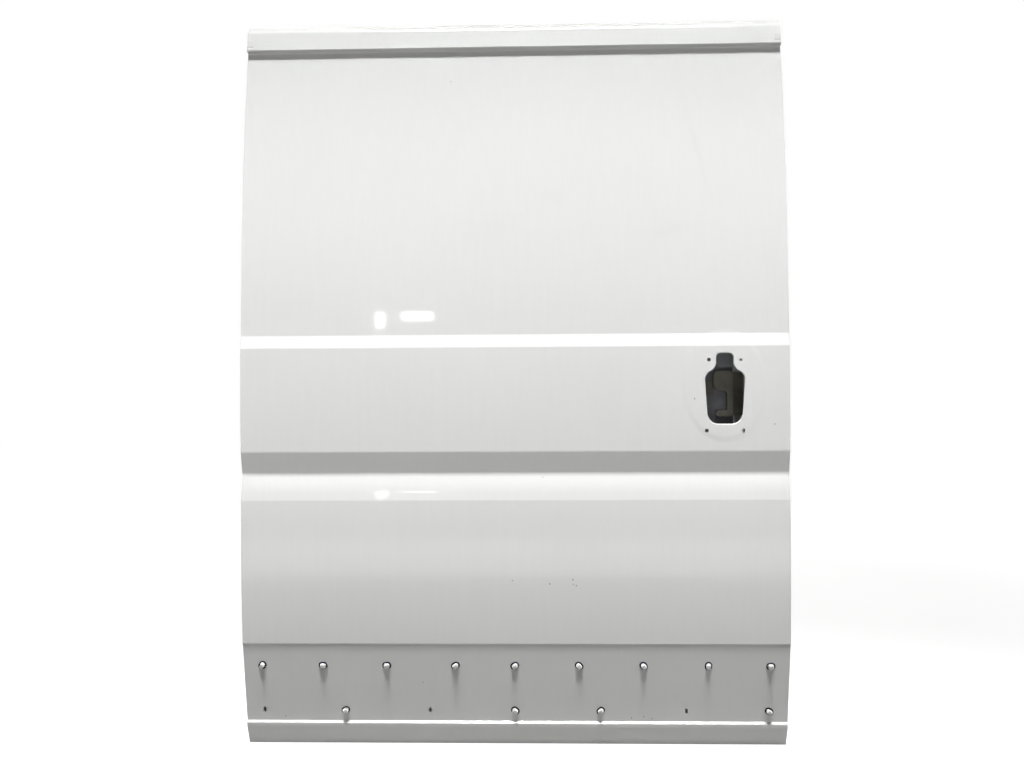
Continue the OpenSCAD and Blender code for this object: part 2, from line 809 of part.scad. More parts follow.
// Soft pads between the braces and the skin
pad_diameter = 26;
pad_gap = 0.3;
brace_pad_places = [-360, -120, 120, 360];
module brace_pads() {
    color(rubber) from_seat() for (z = brace_heights, x = brace_pad_places)
        round_hole(x, z, pad_diameter, outer_y(z + pad_diameter / 2) + skin_wall + pad_gap,
            inner_y(z) - frame_wall - sheet_gap - brace_depth - pad_gap);
}

// Tube across the lower panel, with a bracket at each end
beam_y = (outer_y(beam_height) + inner_y(beam_height)) / 2 - 4;
beam_reach = post_x - 24;
beam_play = 0.3;
bracket_rim = 12;
bracket_lip = 5;
bracket_lap = 30;
bracket_foot = 40;
module side_impact_beam() {
    color(steel) from_seat() translate([-beam_reach, beam_y, beam_height]) rotate([0, 90, 0]) difference() {
        cylinder(d = beam_diameter, h = 2 * beam_reach);
        translate([0, 0, -1]) cylinder(d = beam_diameter - 2 * beam_wall, h = 2 * beam_reach + 2);
    }
}

module beam_bracket() {
    low = beam_height - beam_diameter / 2 - bracket_rim;
    high = beam_height + beam_diameter / 2 + bracket_rim;
    front_y = beam_y - beam_diameter / 2 - bracket_lip;
    back = rounded(inward(inner_form, -frame_wall - sheet_gap));
    foot = rounded(inward(inner_form, -frame_wall - sheet_gap - plate_wall));
    x0 = beam_reach - bracket_lap;
    difference() {
        union() {
            along(x0, x0 + plate_wall) between([[front_y, low], [front_y, high]], back, low, high);
            along(x0 + plate_wall / 2, x0 + bracket_foot) between(foot, back, low, high);
        }
        translate([x0 - plate_wall, beam_y, beam_height]) rotate([0, 90, 0])
            cylinder(d = beam_diameter + 2 * beam_play, h = 3 * plate_wall);
    }
}
module beam_bracket_front() {
    color(steel) from_seat() beam_bracket();
}
module beam_bracket_rear() {
    color(steel) from_seat() mirror([1, 0, 0]) beam_bracket();
}

beam_pad_places = [-390, -130, 130, 390];
module beam_pads() {
    front_y = outer_y(beam_height - pad_diameter / 2) + skin_wall + pad_gap;
    color(rubber) from_seat() for (x = beam_pad_places) difference() {
        round_hole(x, beam_height, pad_diameter, front_y, beam_y);
        translate([x - pad_diameter, beam_y, beam_height]) rotate([0, 90, 0])
            cylinder(d = beam_diameter + 2 * beam_play, h = 2 * pad_diameter);
    }
}

// Damping sheets stuck to the inside of the skin
damping_wall = 2;
damping_size = [380, 130];
damping_places = [-480, -50];
damping_heights = [beam_height + 40, brace_heights[0] + 60];
module damping_sheets() {
    back = rounded(inward(outer_form, flange_in + damping_wall));
    color(rubber) from_seat() for (x = damping_places, z = damping_heights)
        along(x, x + damping_size[0]) between(flange_line, back, z, z + damping_size[1]);
}

// Latch reinforcements behind the front and rear walls
module latch_plate() {
    x1 = post_x - frame_wall - sheet_gap;
    difference() {
        along(x1 - plate_wall, x1) translate([latch_y, latch_z])
            rounded_rect(latch_plate_size[0], latch_plate_size[1], 8);
        latch_cuts(x1);
    }
}
module front_latch_plate() {
    color(steel) from_seat() latch_plate();
}
module rear_latch_plate() {
    color(steel) from_seat() mirror([1, 0, 0]) latch_plate();
}

// Roller arm plates at the front corners, on the inner face
arm_plate_margin = 22;
arm_plate_rise = 60;
module arm_plate(z) {
    low = z - arm_plate_rise / 2;
    high = z + arm_plate_rise / 2;
    reach = arm_bolt_x / 2 + arm_plate_margin;
    back = max(inner_y(low), inner_y(high)) + plate_wall;
    back_line = [[back, low - 1], [back, high + 1]];
    difference() {
        intersection() {
            through(back - 2 * arm_cut, back + 1) translate([arm_x, z])
                rounded_rect(2 * reach, arm_plate_rise, 10);
            along(arm_x - reach - 1, arm_x + reach + 1)
                between(shifted(inner_line, sheet_gap), back_line, low - 1, high + 1);
        }
        arm_bolts(z);
    }
}
module upper_roller_plate() {
    color(steel) from_seat() arm_plate(upper_arm_z);
}
module lower_roller_plate() {
    color(steel) from_seat() arm_plate(lower_arm_z);
}

module middle_roller_seat() {
    color(steel) from_seat() difference() {
        through(seat_y - seat_out + sheet_gap, seat_y) translate([seat_x, seat_height])
            rounded_rect(seat_size, seat_size, 10);
        seat_bolts(seat_y - return_depth, seat_y + return_depth);
    }
}

// Weld nuts behind the seats
nut_width = 15;
nut_height = 7;
thread_depth = 1.6;
module weld_nut(x, y, z) {
    translate([x, y, z]) rotate([90, 0, 0]) difference() {
        cylinder(d = nut_width, h = nut_height, $fn = 6);
        translate([0, 0, -1]) cylinder(d = bolt_hole - thread_depth, h = nut_height + 2);
    }
}
nut_tilt_room = 0.7;
module arm_nuts(z) {
    y = inner_y(z) - frame_wall - nut_tilt_room;
    for (i = [-1, 1]) weld_nut(arm_x + i * arm_bolt_x / 2, y, z);
}
module upper_roller_nuts() {
    color(steel) from_seat() arm_nuts(upper_arm_z);
}
module lower_roller_nuts() {
    color(steel) from_seat() arm_nuts(lower_arm_z);
}
module middle_roller_nuts() {
    y = seat_y - seat_out - frame_wall - sheet_gap;
    color(steel) from_seat() for (i = [-1, 1], j = [-1, 1])
        weld_nut(seat_x + i * seat_bolt_x / 2, y, seat_height + j * seat_bolt_z / 2);
}

module upper_trim_clips() {
    color(plastic) from_seat() for (i = [0:len(upper_places) - 1])
        on_skin(upper_places[i], upper_row) trim_clip(upper_turns[i]);
}
module lower_trim_clips() {
    color(plastic) from_seat() for (i = [0:len(lower_filled) - 1])
        on_skin(lower_filled[i], lower_row) trim_clip(lower_turns[i]);
}
module upper_clip_seals() {
    color(rubber) from_seat() for (i = [0:len(upper_places) - 1])
        on_skin(upper_places[i], upper_row) clip_seal(upper_turns[i]);
}
module lower_clip_seals() {
    color(rubber) from_seat() for (i = [0:len(lower_filled) - 1])
        on_skin(lower_filled[i], lower_row) clip_seal(lower_turns[i]);
}

outer_skin();
handle_reinforcement();
front_post();
rear_post();
top_rail();
bottom_rail();
waist_panel();
rear_access_panel();
middle_access_panel();
front_access_panel();
lock_mounting_plate();
lower_cross_brace();
upper_cross_brace();
brace_pads();
side_impact_beam();
beam_bracket_front();
beam_bracket_rear();
beam_pads();
damping_sheets();
front_latch_plate();
rear_latch_plate();
upper_roller_plate();
lower_roller_plate();
middle_roller_seat();
upper_roller_nuts();
lower_roller_nuts();
middle_roller_nuts();
upper_trim_clips();
lower_trim_clips();
upper_clip_seals();
lower_clip_seals();
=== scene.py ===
"""Looks of a windowless side door of a panel van, built round its CAD solids.

The outer skin with its handle opening and the trim clips with their seals are modelled here in full
detail. The inner frame keeps its CAD shapes and gets its finishes. The camera stands where the
photograph was taken from.
"""

import json
import logging
import math
from contextlib import contextmanager
from dataclasses import dataclass, field
from enum import Enum
from functools import reduce
from typing import Callable, Iterator, NamedTuple, Optional, Sequence, Union

import bmesh
import bpy
from mathutils import Matrix, Vector


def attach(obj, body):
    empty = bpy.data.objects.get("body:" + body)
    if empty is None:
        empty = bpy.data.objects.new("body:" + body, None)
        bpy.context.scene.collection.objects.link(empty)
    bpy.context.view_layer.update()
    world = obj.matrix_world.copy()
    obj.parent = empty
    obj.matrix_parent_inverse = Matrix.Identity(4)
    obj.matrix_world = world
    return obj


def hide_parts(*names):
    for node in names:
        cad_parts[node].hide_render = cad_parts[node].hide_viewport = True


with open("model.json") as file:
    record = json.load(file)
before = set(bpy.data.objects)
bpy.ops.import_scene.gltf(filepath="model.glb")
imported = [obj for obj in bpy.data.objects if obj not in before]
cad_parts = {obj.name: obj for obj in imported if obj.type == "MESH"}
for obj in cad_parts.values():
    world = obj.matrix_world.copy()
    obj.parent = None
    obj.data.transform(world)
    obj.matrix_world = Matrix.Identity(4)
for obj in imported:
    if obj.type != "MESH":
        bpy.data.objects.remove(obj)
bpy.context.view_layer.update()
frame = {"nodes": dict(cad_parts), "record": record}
log = logging.getLogger("van_side_door")

Number = Union[int, float]
Point = tuple[float, float]
Triple = tuple[float, float, float]
Colour = Triple

MM = 0.001
# The row's origin, on the seat of the middle roller arm, in door coordinates (millimetres)
SEAT_X, SEAT_Y, SEAT_Z = -586.5, 80.0, 850.0
# Lengths that differ by less than this many millimetres count as the same
NEAR = 0.01


def place(x: float, y: float, z: float) -> Vector:
    """Turns door coordinates into a place in the row's frame.

    Args:
        x: Millimetres forwards from the middle of the door.
        y: Millimetres inwards from the widest plane of the skin.
        z: Millimetres up from the bottom edge.

    Returns:
        The place in metres.
    """
    return Vector(((x - SEAT_X) * MM, (y - SEAT_Y) * MM, (z - SEAT_Z) * MM))


class Pick(Enum):
    """Kinds of mesh element that can be selected."""

    CORNERS = "VERT"
    FACES = "FACE"


class Blend(Enum):
    """Ways in which two colours are put together."""

    MIX = "MIX"
    MULTIPLY = "MULTIPLY"


@dataclass(frozen=True)
class Mark:
    """An oval mark on the door.

    Its middle, and its half length and half height, are in door millimetres. Its turn is in degrees, and
    it fades over the share of its size that soft gives.
    """

    centre: Point
    size: Point
    turn: float = 0.0
    soft: float = 0.5


# Shaders


class Socket:
    """A shader socket that can be used in Python expressions."""

    def __init__(self, graph: "Graph", link: bpy.types.NodeSocket) -> None:
        """Wraps a socket of a graph."""
        self.graph = graph
        self.link = link

    def math(self, operation: str, *others: Union["Socket", Number]) -> "Socket":
        """Adds a Math node that starts with this socket."""
        return self.graph.math(operation, self, *others)

    def __add__(self, other: Union["Socket", Number]) -> "Socket":
        """Sum."""
        return self.math("ADD", other)

    def __sub__(self, other: Union["Socket", Number]) -> "Socket":
        """Difference."""
        return self.math("SUBTRACT", other)

    def __mul__(self, other: Union["Socket", Number]) -> "Socket":
        """Product."""
        return self.math("MULTIPLY", other)

    def __truediv__(self, other: Union["Socket", Number]) -> "Socket":
        """Quotient."""
        return self.math("DIVIDE", other)

    def ramp(self, low: float, high: float) -> "Socket":
        """Rises smoothly from 0 at low to 1 at high, or falls where high is the lower one."""
        return self.graph.node(
            "ShaderNodeMapRange",
            {"interpolation_type": "SMOOTHSTEP"},
            {"Value": self, "From Min": low, "From Max": high, "To Min": 0.0, "To Max": 1.0},
        )


class Graph:
    """The node tree of one material or of the world."""

    # Numbers of the colour sockets of a Mix node
    MIX_SHARE, MIX_LOW, MIX_HIGH, MIX_RESULT = 0, 6, 7, 2

    def __init__(self, tree: bpy.types.NodeTree) -> None:
        """Empties a node tree and keeps it."""
        self.tree = tree
        tree.nodes.clear()

    def node(self, kind: str, settings: dict, sockets: dict,
             output: Union[int, str] = 0) -> Optional[Socket]:
        """Adds one node.

        Args:
            kind: Type of the node.
            settings: Its properties.
            sockets: Values or links by socket name or number.
            output: Which output to return.

        Returns:
            The wanted output, or None where the node has no output.
        """
        made = self.tree.nodes.new(kind)
        for name, value in settings.items():
            setattr(made, name, value)
        for name, value in sockets.items():
            socket = made.inputs[name]
            if isinstance(value, Socket):
                self.tree.links.new(value.link, socket)
            elif socket.type == "RGBA":
                socket.default_value = (*value, 1.0)
            else:
                socket.default_value = value
        return Socket(self, made.outputs[output]) if made.outputs else None

    def math(self, operation: str, *values: Union[Socket, Number]) -> Socket:
        """Adds a Math node on values or links."""
        return self.node("ShaderNodeMath", {"operation": operation}, dict(enumerate(values)))

    def mix(self, share: Union[Socket, Number], low: Union[Socket, Colour], high: Union[Socket, Colour],
            blend: Blend = Blend.MIX) -> Socket:
        """Puts two colours together by a share."""
        settings = {"data_type": "RGBA", "blend_type": blend.value}
        sockets = {self.MIX_SHARE: share, self.MIX_LOW: low, self.MIX_HIGH: high}
        return self.node("ShaderNodeMix", settings, sockets, self.MIX_RESULT)

    def at(self) -> Socket:
        """The place on the object as a vector."""
        return self.node("ShaderNodeTexCoord", {}, {}, "Object")

    def lengths(self, at: Socket) -> tuple[Socket, ...]:
        """The three lengths of a place."""
        split = self.node("ShaderNodeSeparateXYZ", {}, {0: at}).link.node
        return tuple(Socket(self, output) for output in split.outputs)

    def noise(self, at: Socket, scale: float, stretch: Triple = (1, 1, 1), detail: float = 3.0) -> Socket:
        """Noise about 0.5, with so many waves a metre, drawn out along the axes by stretch."""
        scales = tuple(scale / s for s in stretch)
        turned = self.node("ShaderNodeMapping", {}, {"Vector": at, "Scale": scales})
        sockets = {"Vector": turned, "Scale": 1.0, "Detail": detail}
        return self.node("ShaderNodeTexNoise", {}, sockets, "Fac")

    def cells(self, at: Socket, scale: float) -> Socket:
        """Random value of each cell of a cell pattern."""
        found = self.node("ShaderNodeTexVoronoi", {}, {"Vector": at, "Scale": scale}, "Color")
        return self.node("ShaderNodeSeparateColor", {}, {0: found})

    def rays(self, *kinds: str) -> Socket:
        """1 for rays of the named kinds, and 0 for all others."""
        outputs = self.node("ShaderNodeLightPath", {}, {}).link.node.outputs
        return self.strongest([Socket(self, outputs[kind]) for kind in kinds])

    @staticmethod
    def strongest(marks: Sequence[Socket]) -> Socket:
        """The strongest of several marks at each place."""
        return reduce(lambda one, other: one.math("MAXIMUM", other), marks)

    def blot(self, x: Socket, z: Socket, mark: Mark) -> Socket:
        """An oval mark, 1 inside and 0 outside.

        Args:
            x: Length along the door in metres.
            z: Height in metres.
            mark: Its place, size, turn and softness.

        Returns:
            The mark's strength.
        """
        u = x - (mark.centre[0] - SEAT_X) * MM
        v = z - (mark.centre[1] - SEAT_Z) * MM
        c, s = math.cos(math.radians(mark.turn)), math.sin(math.radians(mark.turn))
        across = (u * c + v * s) / (mark.size[0] * MM)
        up = (v * c - u * s) / (mark.size[1] * MM)
        return (across * across + up * up).math("SQRT").ramp(1.0 + mark.soft, 1.0 - mark.soft)

    def bump(self, height: Socket, distance: float) -> Socket:
        """A Bump node whose height of 1 stands for a distance in metres."""
        return self.node("ShaderNodeBump", {}, {"Height": height, "Distance": distance, "Strength": 1.0})


# Finishes


@dataclass(frozen=True)
class Finish:
    """A finish of one material slot of the door."""

    name: str
    colour: Colour
    roughness: float = 0.4
    metallic: float = 0.0
    coat: float = 0.0
    shine: float = 0.5
    coat_roughness: float = 0.04

    def material(self) -> bpy.types.Material:
        """The finish as a material, made once."""
        made = bpy.data.materials.get(self.name)
        if made is None:
            made = bpy.data.materials.new(self.name)
            made.use_nodes = True
            graph = Graph(made.node_tree)
            sockets = {
                "Base Color": self.colour,
                "Roughness": self.roughness,
                "Metallic": self.metallic,
                "Coat Weight": self.coat,
                "Specular IOR Level": self.shine,
                "Coat Roughness": self.coat_roughness,
            }
            sockets.update(self.surface(graph))
            shader = graph.node("ShaderNodeBsdfPrincipled", {}, sockets)
            graph.node("ShaderNodeOutputMaterial", {}, {"Surface": shader})
        return made

    def tone(self, factor: float, lift: float = 0.0) -> Colour:
        """The finish's colour made lighter or darker by a factor."""
        return tuple(min(1.0, part * factor + lift) for part in self.colour)

    def surface(self, graph: Graph) -> dict:
        """What changes over the surface, by socket name."""
        raise NotImplementedError


# Shaded places of the white paint, each with how far it darkens
SHADED_PLACES = (
    (Mark((445, 1440), (7, 100), 14, 0.9), 0.020),
    (Mark((-25, 1260), (60, 30), 20, 0.9), 0.012),
    (Mark((95, 1330), (26, 16), 0, 0.9), 0.014),
    (Mark((380, 1245), (34, 12), 12, 0.9), 0.022),
    (Mark((-60, 975), (120, 6), -3, 0.9), 0.022),
    (Mark((548, 868), (5, 12), 0, 0.9), 0.055),
    (Mark((150, 470), (90, 70), 10, 0.9), 0.012),
    (Mark((100, 560), (60, 25), 25, 0.9), 0.012),
)
# Chips and specks of the white paint, each with its half width in millimetres
SPECKS = (
    ((430, 841), 1.7), ((619, 780), 1.5), ((85, 402), 1.8), ((140, 412), 1.7), ((148, 398), 1.7),
    ((141, 401), 1.3), ((-4, 410), 1.4), ((-150, 1620), 1.2), ((70, 655), 1.1), ((-222, 160), 1.3),
    ((280, 70), 1.5), ((310, 73), 1.4), ((330, 69), 1.3), ((-560, 72), 1.4),
)


@dataclass(frozen=True)
class BodyPaint(Finish):
    """Glossy white body paint with the marks of use."""

    unevenness: float = 0.030
    yellowing: float = 1.25
    speck_stretch: float = 1.2
    speck_soft: float = 0.4
    dust_colour: Colour = (0.62, 0.60, 0.54)
    dust_share: float = 0.25
    dirt_colour: Colour = (0.16, 0.15, 0.13)
    dirt_share: float = 0.65
    pad: Mark = Mark((502, 872), (96, 128), 0, 0.07)
    pad_height: float = 0.9
    peel_height: float = 0.010
    wave_height: float = 0.6

    def surface(self, graph: Graph) -> dict:
        """Faint clouds and streaks, dust, specks and the raised pad round the handle opening."""
        at = graph.at()
        x, _, z = graph.lengths(at)
        clouds = graph.noise(at, 3.0, detail=2)
        streaks = graph.noise(at, 95.0, (1, 1, 12), 2)
        shade = (clouds - 0.5) * self.unevenness + (streaks - 0.5) * self.unevenness
        for mark, depth in SHADED_PLACES:
            shade = shade - graph.blot(x, z, mark) * depth
        specks = [
            Mark(centre, (size, size * self.speck_stretch), 0, self.speck_soft) for centre, size in SPECKS
        ]
        dirt = graph.strongest([graph.blot(x, z, mark) for mark in specks])
        dust = graph.noise(at, 420.0, detail=2).ramp(0.72, 0.80) * graph.noise(at, 6.0).ramp(0.5, 0.7)
        level = graph.node(
            "ShaderNodeCombineColor", {}, {0: shade + 1.0, 1: shade + 1.0, 2: shade * self.yellowing + 1.0}
        )
        plain = graph.mix(1.0, self.colour, level, Blend.MULTIPLY)
        dusty = graph.mix(dust * self.dust_share, plain, self.dust_colour)
        pad = graph.blot(x, z, self.pad)
        peel = graph.noise(at, 330.0, detail=1)
        waves = graph.noise(at, 3.2, detail=1)
        height = pad * self.pad_height + peel * self.peel_height + waves * self.wave_height
        return {
            "Base Color": graph.mix(dirt * self.dirt_share, dusty, self.dirt_colour),
            "Roughness": graph.noise(at, 14.0).ramp(0.3, 0.8) * 0.10 + self.roughness + dust * 0.3,
            "Normal": graph.bump(height, MM),
        }


@dataclass(frozen=True)
class InnerPaint(Finish):
    """Duller paint of the inner pressings, thin in places, with spot welds."""

    weld_columns: Point = (521.0, -521.0)
    weld_lines: Point = (1690.0, 108.0)
    weld_pitch: float = 0.055
    weld_edge: Point = (0.0042, 0.0026)
    weld_dent: float = 0.6
    weld_colour: Colour = (0.34, 0.35, 0.36)
    thin_colour: Colour = (0.50, 0.52, 0.52)
    grime_colour: Colour = (0.30, 0.27, 0.22)
    # Painted shade: a dark patch on the front post behind the handle opening, only on the parts near the
    # skin
    painted_shade: Mark = Mark((545, 855), (16, 110), 0, 0.1)
    painted_shade_depths: Point = (-0.030, -0.045)
    painted_shade_colour: Colour = (0.022, 0.023, 0.026)
    relief: float = 0.0012

    def weld_row(self, along: Socket, across: Socket) -> Socket:
        """Spot welds in a row, 1 inside and 0 outside, from lengths in metres along and across it."""
        step = (along * (1 / self.weld_pitch)).math("FRACT") - 0.5
        far = ((step * self.weld_pitch) * (step * self.weld_pitch) + across * across).math("SQRT")
        return far.ramp(*self.weld_edge)

    def surface(self, graph: Graph) -> dict:
        """Thin paint over primer, dust in the low parts, rows of spot welds and a dark patch of painted
        shade behind the handle opening.
        """
        at = graph.at()
        x, y, z = graph.lengths(at)
        thin = graph.noise(at, 9.0, (1, 1, 2), 5).ramp(0.52, 0.78)
        grime = graph.noise(at, 32.0, (1, 1, 3), 4).ramp(0.55, 0.85)
        low = z.ramp(-0.45, -0.85)
        streaks = graph.noise(at, 60.0, (1, 1, 14), 3)
        base = graph.mix(thin * 0.35, self.colour, self.thin_colour)
        base = graph.mix(grime * (low * 0.35 + 0.10), base, self.grime_colour)
        rows = [self.weld_row(z, x - (column - SEAT_X) * MM) for column in self.weld_columns]
        rows += [self.weld_row(x, z - (line - SEAT_Z) * MM) for line in self.weld_lines]
        welds = graph.strongest(rows)
        # Painted shade: darkens the patch behind the handle opening, kept to the parts near the skin
        painted_shade = graph.blot(x, z, self.painted_shade) * y.ramp(*self.painted_shade_depths)
        base = graph.mix(painted_shade, base, self.painted_shade_colour)
        height = graph.noise(at, 260.0, detail=2) * 0.06 + streaks * 0.03 - welds * self.weld_dent
        return {
            "Base Color": graph.mix(welds * 0.22, base, self.weld_colour),
            "Roughness": graph.noise(at, 22.0).ramp(0.2, 0.9) * 0.22 + self.roughness,
            "Normal": graph.bump(height, self.relief),
        }


@dataclass(frozen=True)
class Primer(Finish):
    """Satin primer with sanding marks and a few thin places."""

    def surface(self, graph: Graph) -> dict:
        """Clouded colour, fine grain and runs."""
        at = graph.at()
        clouds = graph.noise(at, 11.0, detail=4)
        runs = graph.noise(at, 70.0, (1, 1, 10), 3)
        lighter = self.tone(1.45)
        base = graph.mix(clouds.ramp(0.35, 0.7), self.tone(0.72), lighter)
        base = graph.mix(runs.ramp(0.62, 0.8) * 0.25, base, lighter)
        grain = graph.noise(at, 600.0, detail=2)
        return {
            "Base Color": base,
            "Roughness": clouds * 0.25 + self.roughness,
            "Normal": graph.bump(grain * 0.10 + runs * 0.05, MM),
        }


@dataclass(frozen=True)
class ZincSheet(Finish):
    """Zinc-coated steel with spangle and dull oxide."""

    oxide_colour: Colour = (0.42, 0.42, 0.40)
    rust_colour: Colour = (0.16, 0.09, 0.05)

    def surface(self, graph: Graph) -> dict:
        """Spangle by cell, oxide clouds and a little rust."""
        at = graph.at()
        spangle = graph.cells(at, 130.0)
        oxide = graph.noise(at, 18.0, detail=4).ramp(0.45, 0.75)
        rust = graph.noise(at, 46.0, detail=5).ramp(0.70, 0.80)
        base = graph.mix(spangle, self.tone(0.70), self.tone(1.25))
        base = graph.mix(oxide * 0.6, base, self.oxide_colour)
        base = graph.mix(rust * 0.30, base, self.rust_colour)
        return {
            "Base Color": base,
            "Roughness": spangle * 0.15 + oxide * 0.2 + self.roughness,
            "Metallic": oxide * -0.45 + self.metallic,
            "Normal": graph.bump(graph.noise(at, 320.0, detail=2) * 0.08, MM),
        }


@dataclass(frozen=True)
class SoftCompound(Finish):
    """Rubber, mastic or moulded plastic."""

    grain: float = 0.1
    dust: float = 0.2
    dust_colour: Colour = (0.40, 0.38, 0.34)

    def surface(self, graph: Graph) -> dict:
        """Fine grain with dust on it."""
        at = graph.at()
        clouds = graph.noise(at, 70.0, detail=3)
        dusty = graph.noise(at, 160.0, detail=3).ramp(0.5, 0.8)
        base = graph.mix(clouds, self.colour, self.tone(1.25, 0.01))
        return {
            "Base Color": graph.mix(dusty * self.dust, base, self.dust_colour),
            "Roughness": clouds * 0.2 + self.roughness,
            "Normal": graph.bump(graph.noise(at, 900.0, detail=2) * self.grain, MM),
        }


WHITE_PAINT = BodyPaint("white_body_paint", (0.80, 0.80, 0.785), 0.30, coat=0.8)
INNER_PAINT = InnerPaint("inner_white_paint", (0.70, 0.70, 0.68), 0.38, coat=0.15)
GREY_PRIMER = Primer("blue_grey_primer", (0.165, 0.170, 0.182), 0.40)
OLIVE_PRIMER = Primer("satin_olive_primer", (0.125, 0.120, 0.095), 0.45)
ZINC = ZincSheet("zinc_coated_sheet", (0.40, 0.40, 0.385), 0.34, metallic=0.75)
MASTIC = SoftCompound("black_mastic", (0.035, 0.035, 0.035), 0.60, grain=0.5, dust=0.12)
SEAL_RUBBER = SoftCompound(
    "blue_black_rubber", (0.010, 0.012, 0.022), 0.50, shine=0.2, grain=0.08, dust=0.03
)
CLIP_PLASTIC = SoftCompound("white_clip_plastic", (0.74, 0.74, 0.72), 0.35, grain=0.05, dust=0.10)


# Modelling


class Bench:
    """The few ways in which the pieces are worked on."""

    @staticmethod
    def clear() -> None:
        """Deselects every object."""
        if bpy.context.object and bpy.context.object.mode != "OBJECT":
            bpy.ops.object.mode_set(mode="OBJECT")
        bpy.ops.object.select_all(action="DESELECT")

    @staticmethod
    def only(piece: bpy.types.Object) -> None:
        """Selects one object alone and makes it active."""
        Bench.clear()
        piece.select_set(True)
        bpy.context.view_layer.objects.active = piece

    @staticmethod
    @contextmanager
    def editing(piece: bpy.types.Object) -> Iterator[None]:
        """Opens an object in edit mode with nothing selected."""
        Bench.only(piece)
        bpy.ops.object.mode_set(mode="EDIT")
        bpy.ops.mesh.select_all(action="DESELECT")
        yield
        bpy.ops.object.mode_set(mode="OBJECT")

    @staticmethod
    def pick(piece: bpy.types.Object, test: Callable[[Vector], bool], kind: Pick = Pick.CORNERS) -> None:
        """Selects, in edit mode, every element whose corners all pass a test.

        Args:
            piece: The object being edited.
            test: Takes a corner's place in the row's frame.
            kind: What is selected.
        """
        bpy.ops.mesh.select_mode(type=kind.value)
        mesh = bmesh.from_edit_mesh(piece.data)
        passed = {v for v in mesh.verts if test(piece.matrix_world @ v.co)}
        if kind is Pick.FACES:
            for face in mesh.faces:
                face.select_set(all(v in passed for v in face.verts))
        else:
            for vertex in mesh.verts:
                vertex.select_set(vertex in passed)
        mesh.select_flush_mode()
        bmesh.update_edit_mesh(piece.data)

    @staticmethod
    def shift(x: float, y: float, z: float) -> None:
        """Moves what is selected, in millimetres."""
        bpy.ops.transform.translate(value=(x * MM, y * MM, z * MM))

    @staticmethod
    def modify(piece: bpy.types.Object, kind: str, **settings: object) -> None:
        """Adds a modifier, sets it and applies it."""
        Bench.only(piece)
        made = piece.modifiers.new(kind.lower(), kind)
        for name, value in settings.items():
            setattr(made, name, value)
        bpy.ops.object.modifier_apply(modifier=made.name)

    @staticmethod
    def carve(piece: bpy.types.Object, tool: bpy.types.Object) -> None:
        """Cuts a tool out of a piece, and removes the tool."""
        Bench.modify(piece, "BOOLEAN", operation="DIFFERENCE", object=tool, solver="EXACT")
        bpy.data.objects.remove(tool)

    @staticmethod
    def smooth(piece: bpy.types.Object, angle: float) -> None:
        """Shades a piece smooth up to an angle in degrees and evens its normals by face area."""
        Bench.only(piece)
        bpy.ops.object.shade_smooth_by_angle(angle=math.radians(angle))
        Bench.modify(piece, "WEIGHTED_NORMAL", keep_sharp=True, weight=100)

    @staticmethod
    def plate(outline: Sequence[Point], y: float) -> bpy.types.Object:
        """A flat sheet on an outline in length and height, at one depth, facing outwards."""
        Bench.clear()
        bpy.ops.mesh.primitive_circle_add(vertices=len(outline), radius=1, fill_type="NGON")
        piece = bpy.context.object
        for vertex, (x, z) in zip(piece.data.vertices, outline):
            vertex.co = place(x, y, z)
        piece.data.update()
        if piece.data.polygons[0].normal.y > 0:
            piece.data.flip_normals()
        return piece

    @staticmethod
    def prism(outline: Sequence[Point], y0: float, y1: float) -> bpy.types.Object:
        """A prism on an outline in length and height, between two depths, all in door millimetres."""
        piece = Bench.plate(outline, y0)
        with Bench.editing(piece):
            bpy.ops.mesh.select_all(action="SELECT")
            bpy.ops.mesh.extrude_region_move(TRANSFORM_OT_translate={"value": (0, (y1 - y0) * MM, 0)})
            bpy.ops.mesh.select_all(action="SELECT")
            bpy.ops.mesh.normals_make_consistent(inside=False)
        return piece

    @staticmethod
    def join(pieces: Sequence[bpy.types.Object], name: str) -> bpy.types.Object:
        """Joins pieces into one with a new name."""
        Bench.clear()
        for piece in pieces:
            piece.select_set(True)
        bpy.context.view_layer.objects.active = pieces[0]
        bpy.ops.object.join()
        joined = bpy.context.object
        joined.name = name
        return joined

    @staticmethod
    def settle(piece: bpy.types.Object, name: str, finish: Finish, slot: str, node: str) -> None:
        """Puts a piece's place into its mesh, dresses it and ties it to the frame.

        Args:
            piece: The finished piece.
            name: Its name.
            finish: Its finish.
            slot: The record's material slot; not used.
            node: The CAD node that it stands for.
        """
        Bench.only(piece)
        bpy.ops.object.transform_apply(location=True, rotation=True, scale=True)
        piece.name = name
        piece.data.materials.append(finish.material())
        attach(piece, "root")
        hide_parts(node)
        log.info("%s: %d faces", name, len(piece.data.polygons))


# Outer skin


class Corner(NamedTuple):
    """A corner of the skin's section: its depth, height and radius in millimetres."""

    depth: float
    height: float
    radius: float = 0.0


# Corners with a smaller radius, or a smaller turn in radians, stay as single points
LEAST_RADIUS = 0.6
LEAST_TURN = 0.0008
# An arc of the section turns at most this many degrees, and runs at most this far, from point to point
ARC_TURN = 4.0
ARC_PIECE = 12.0


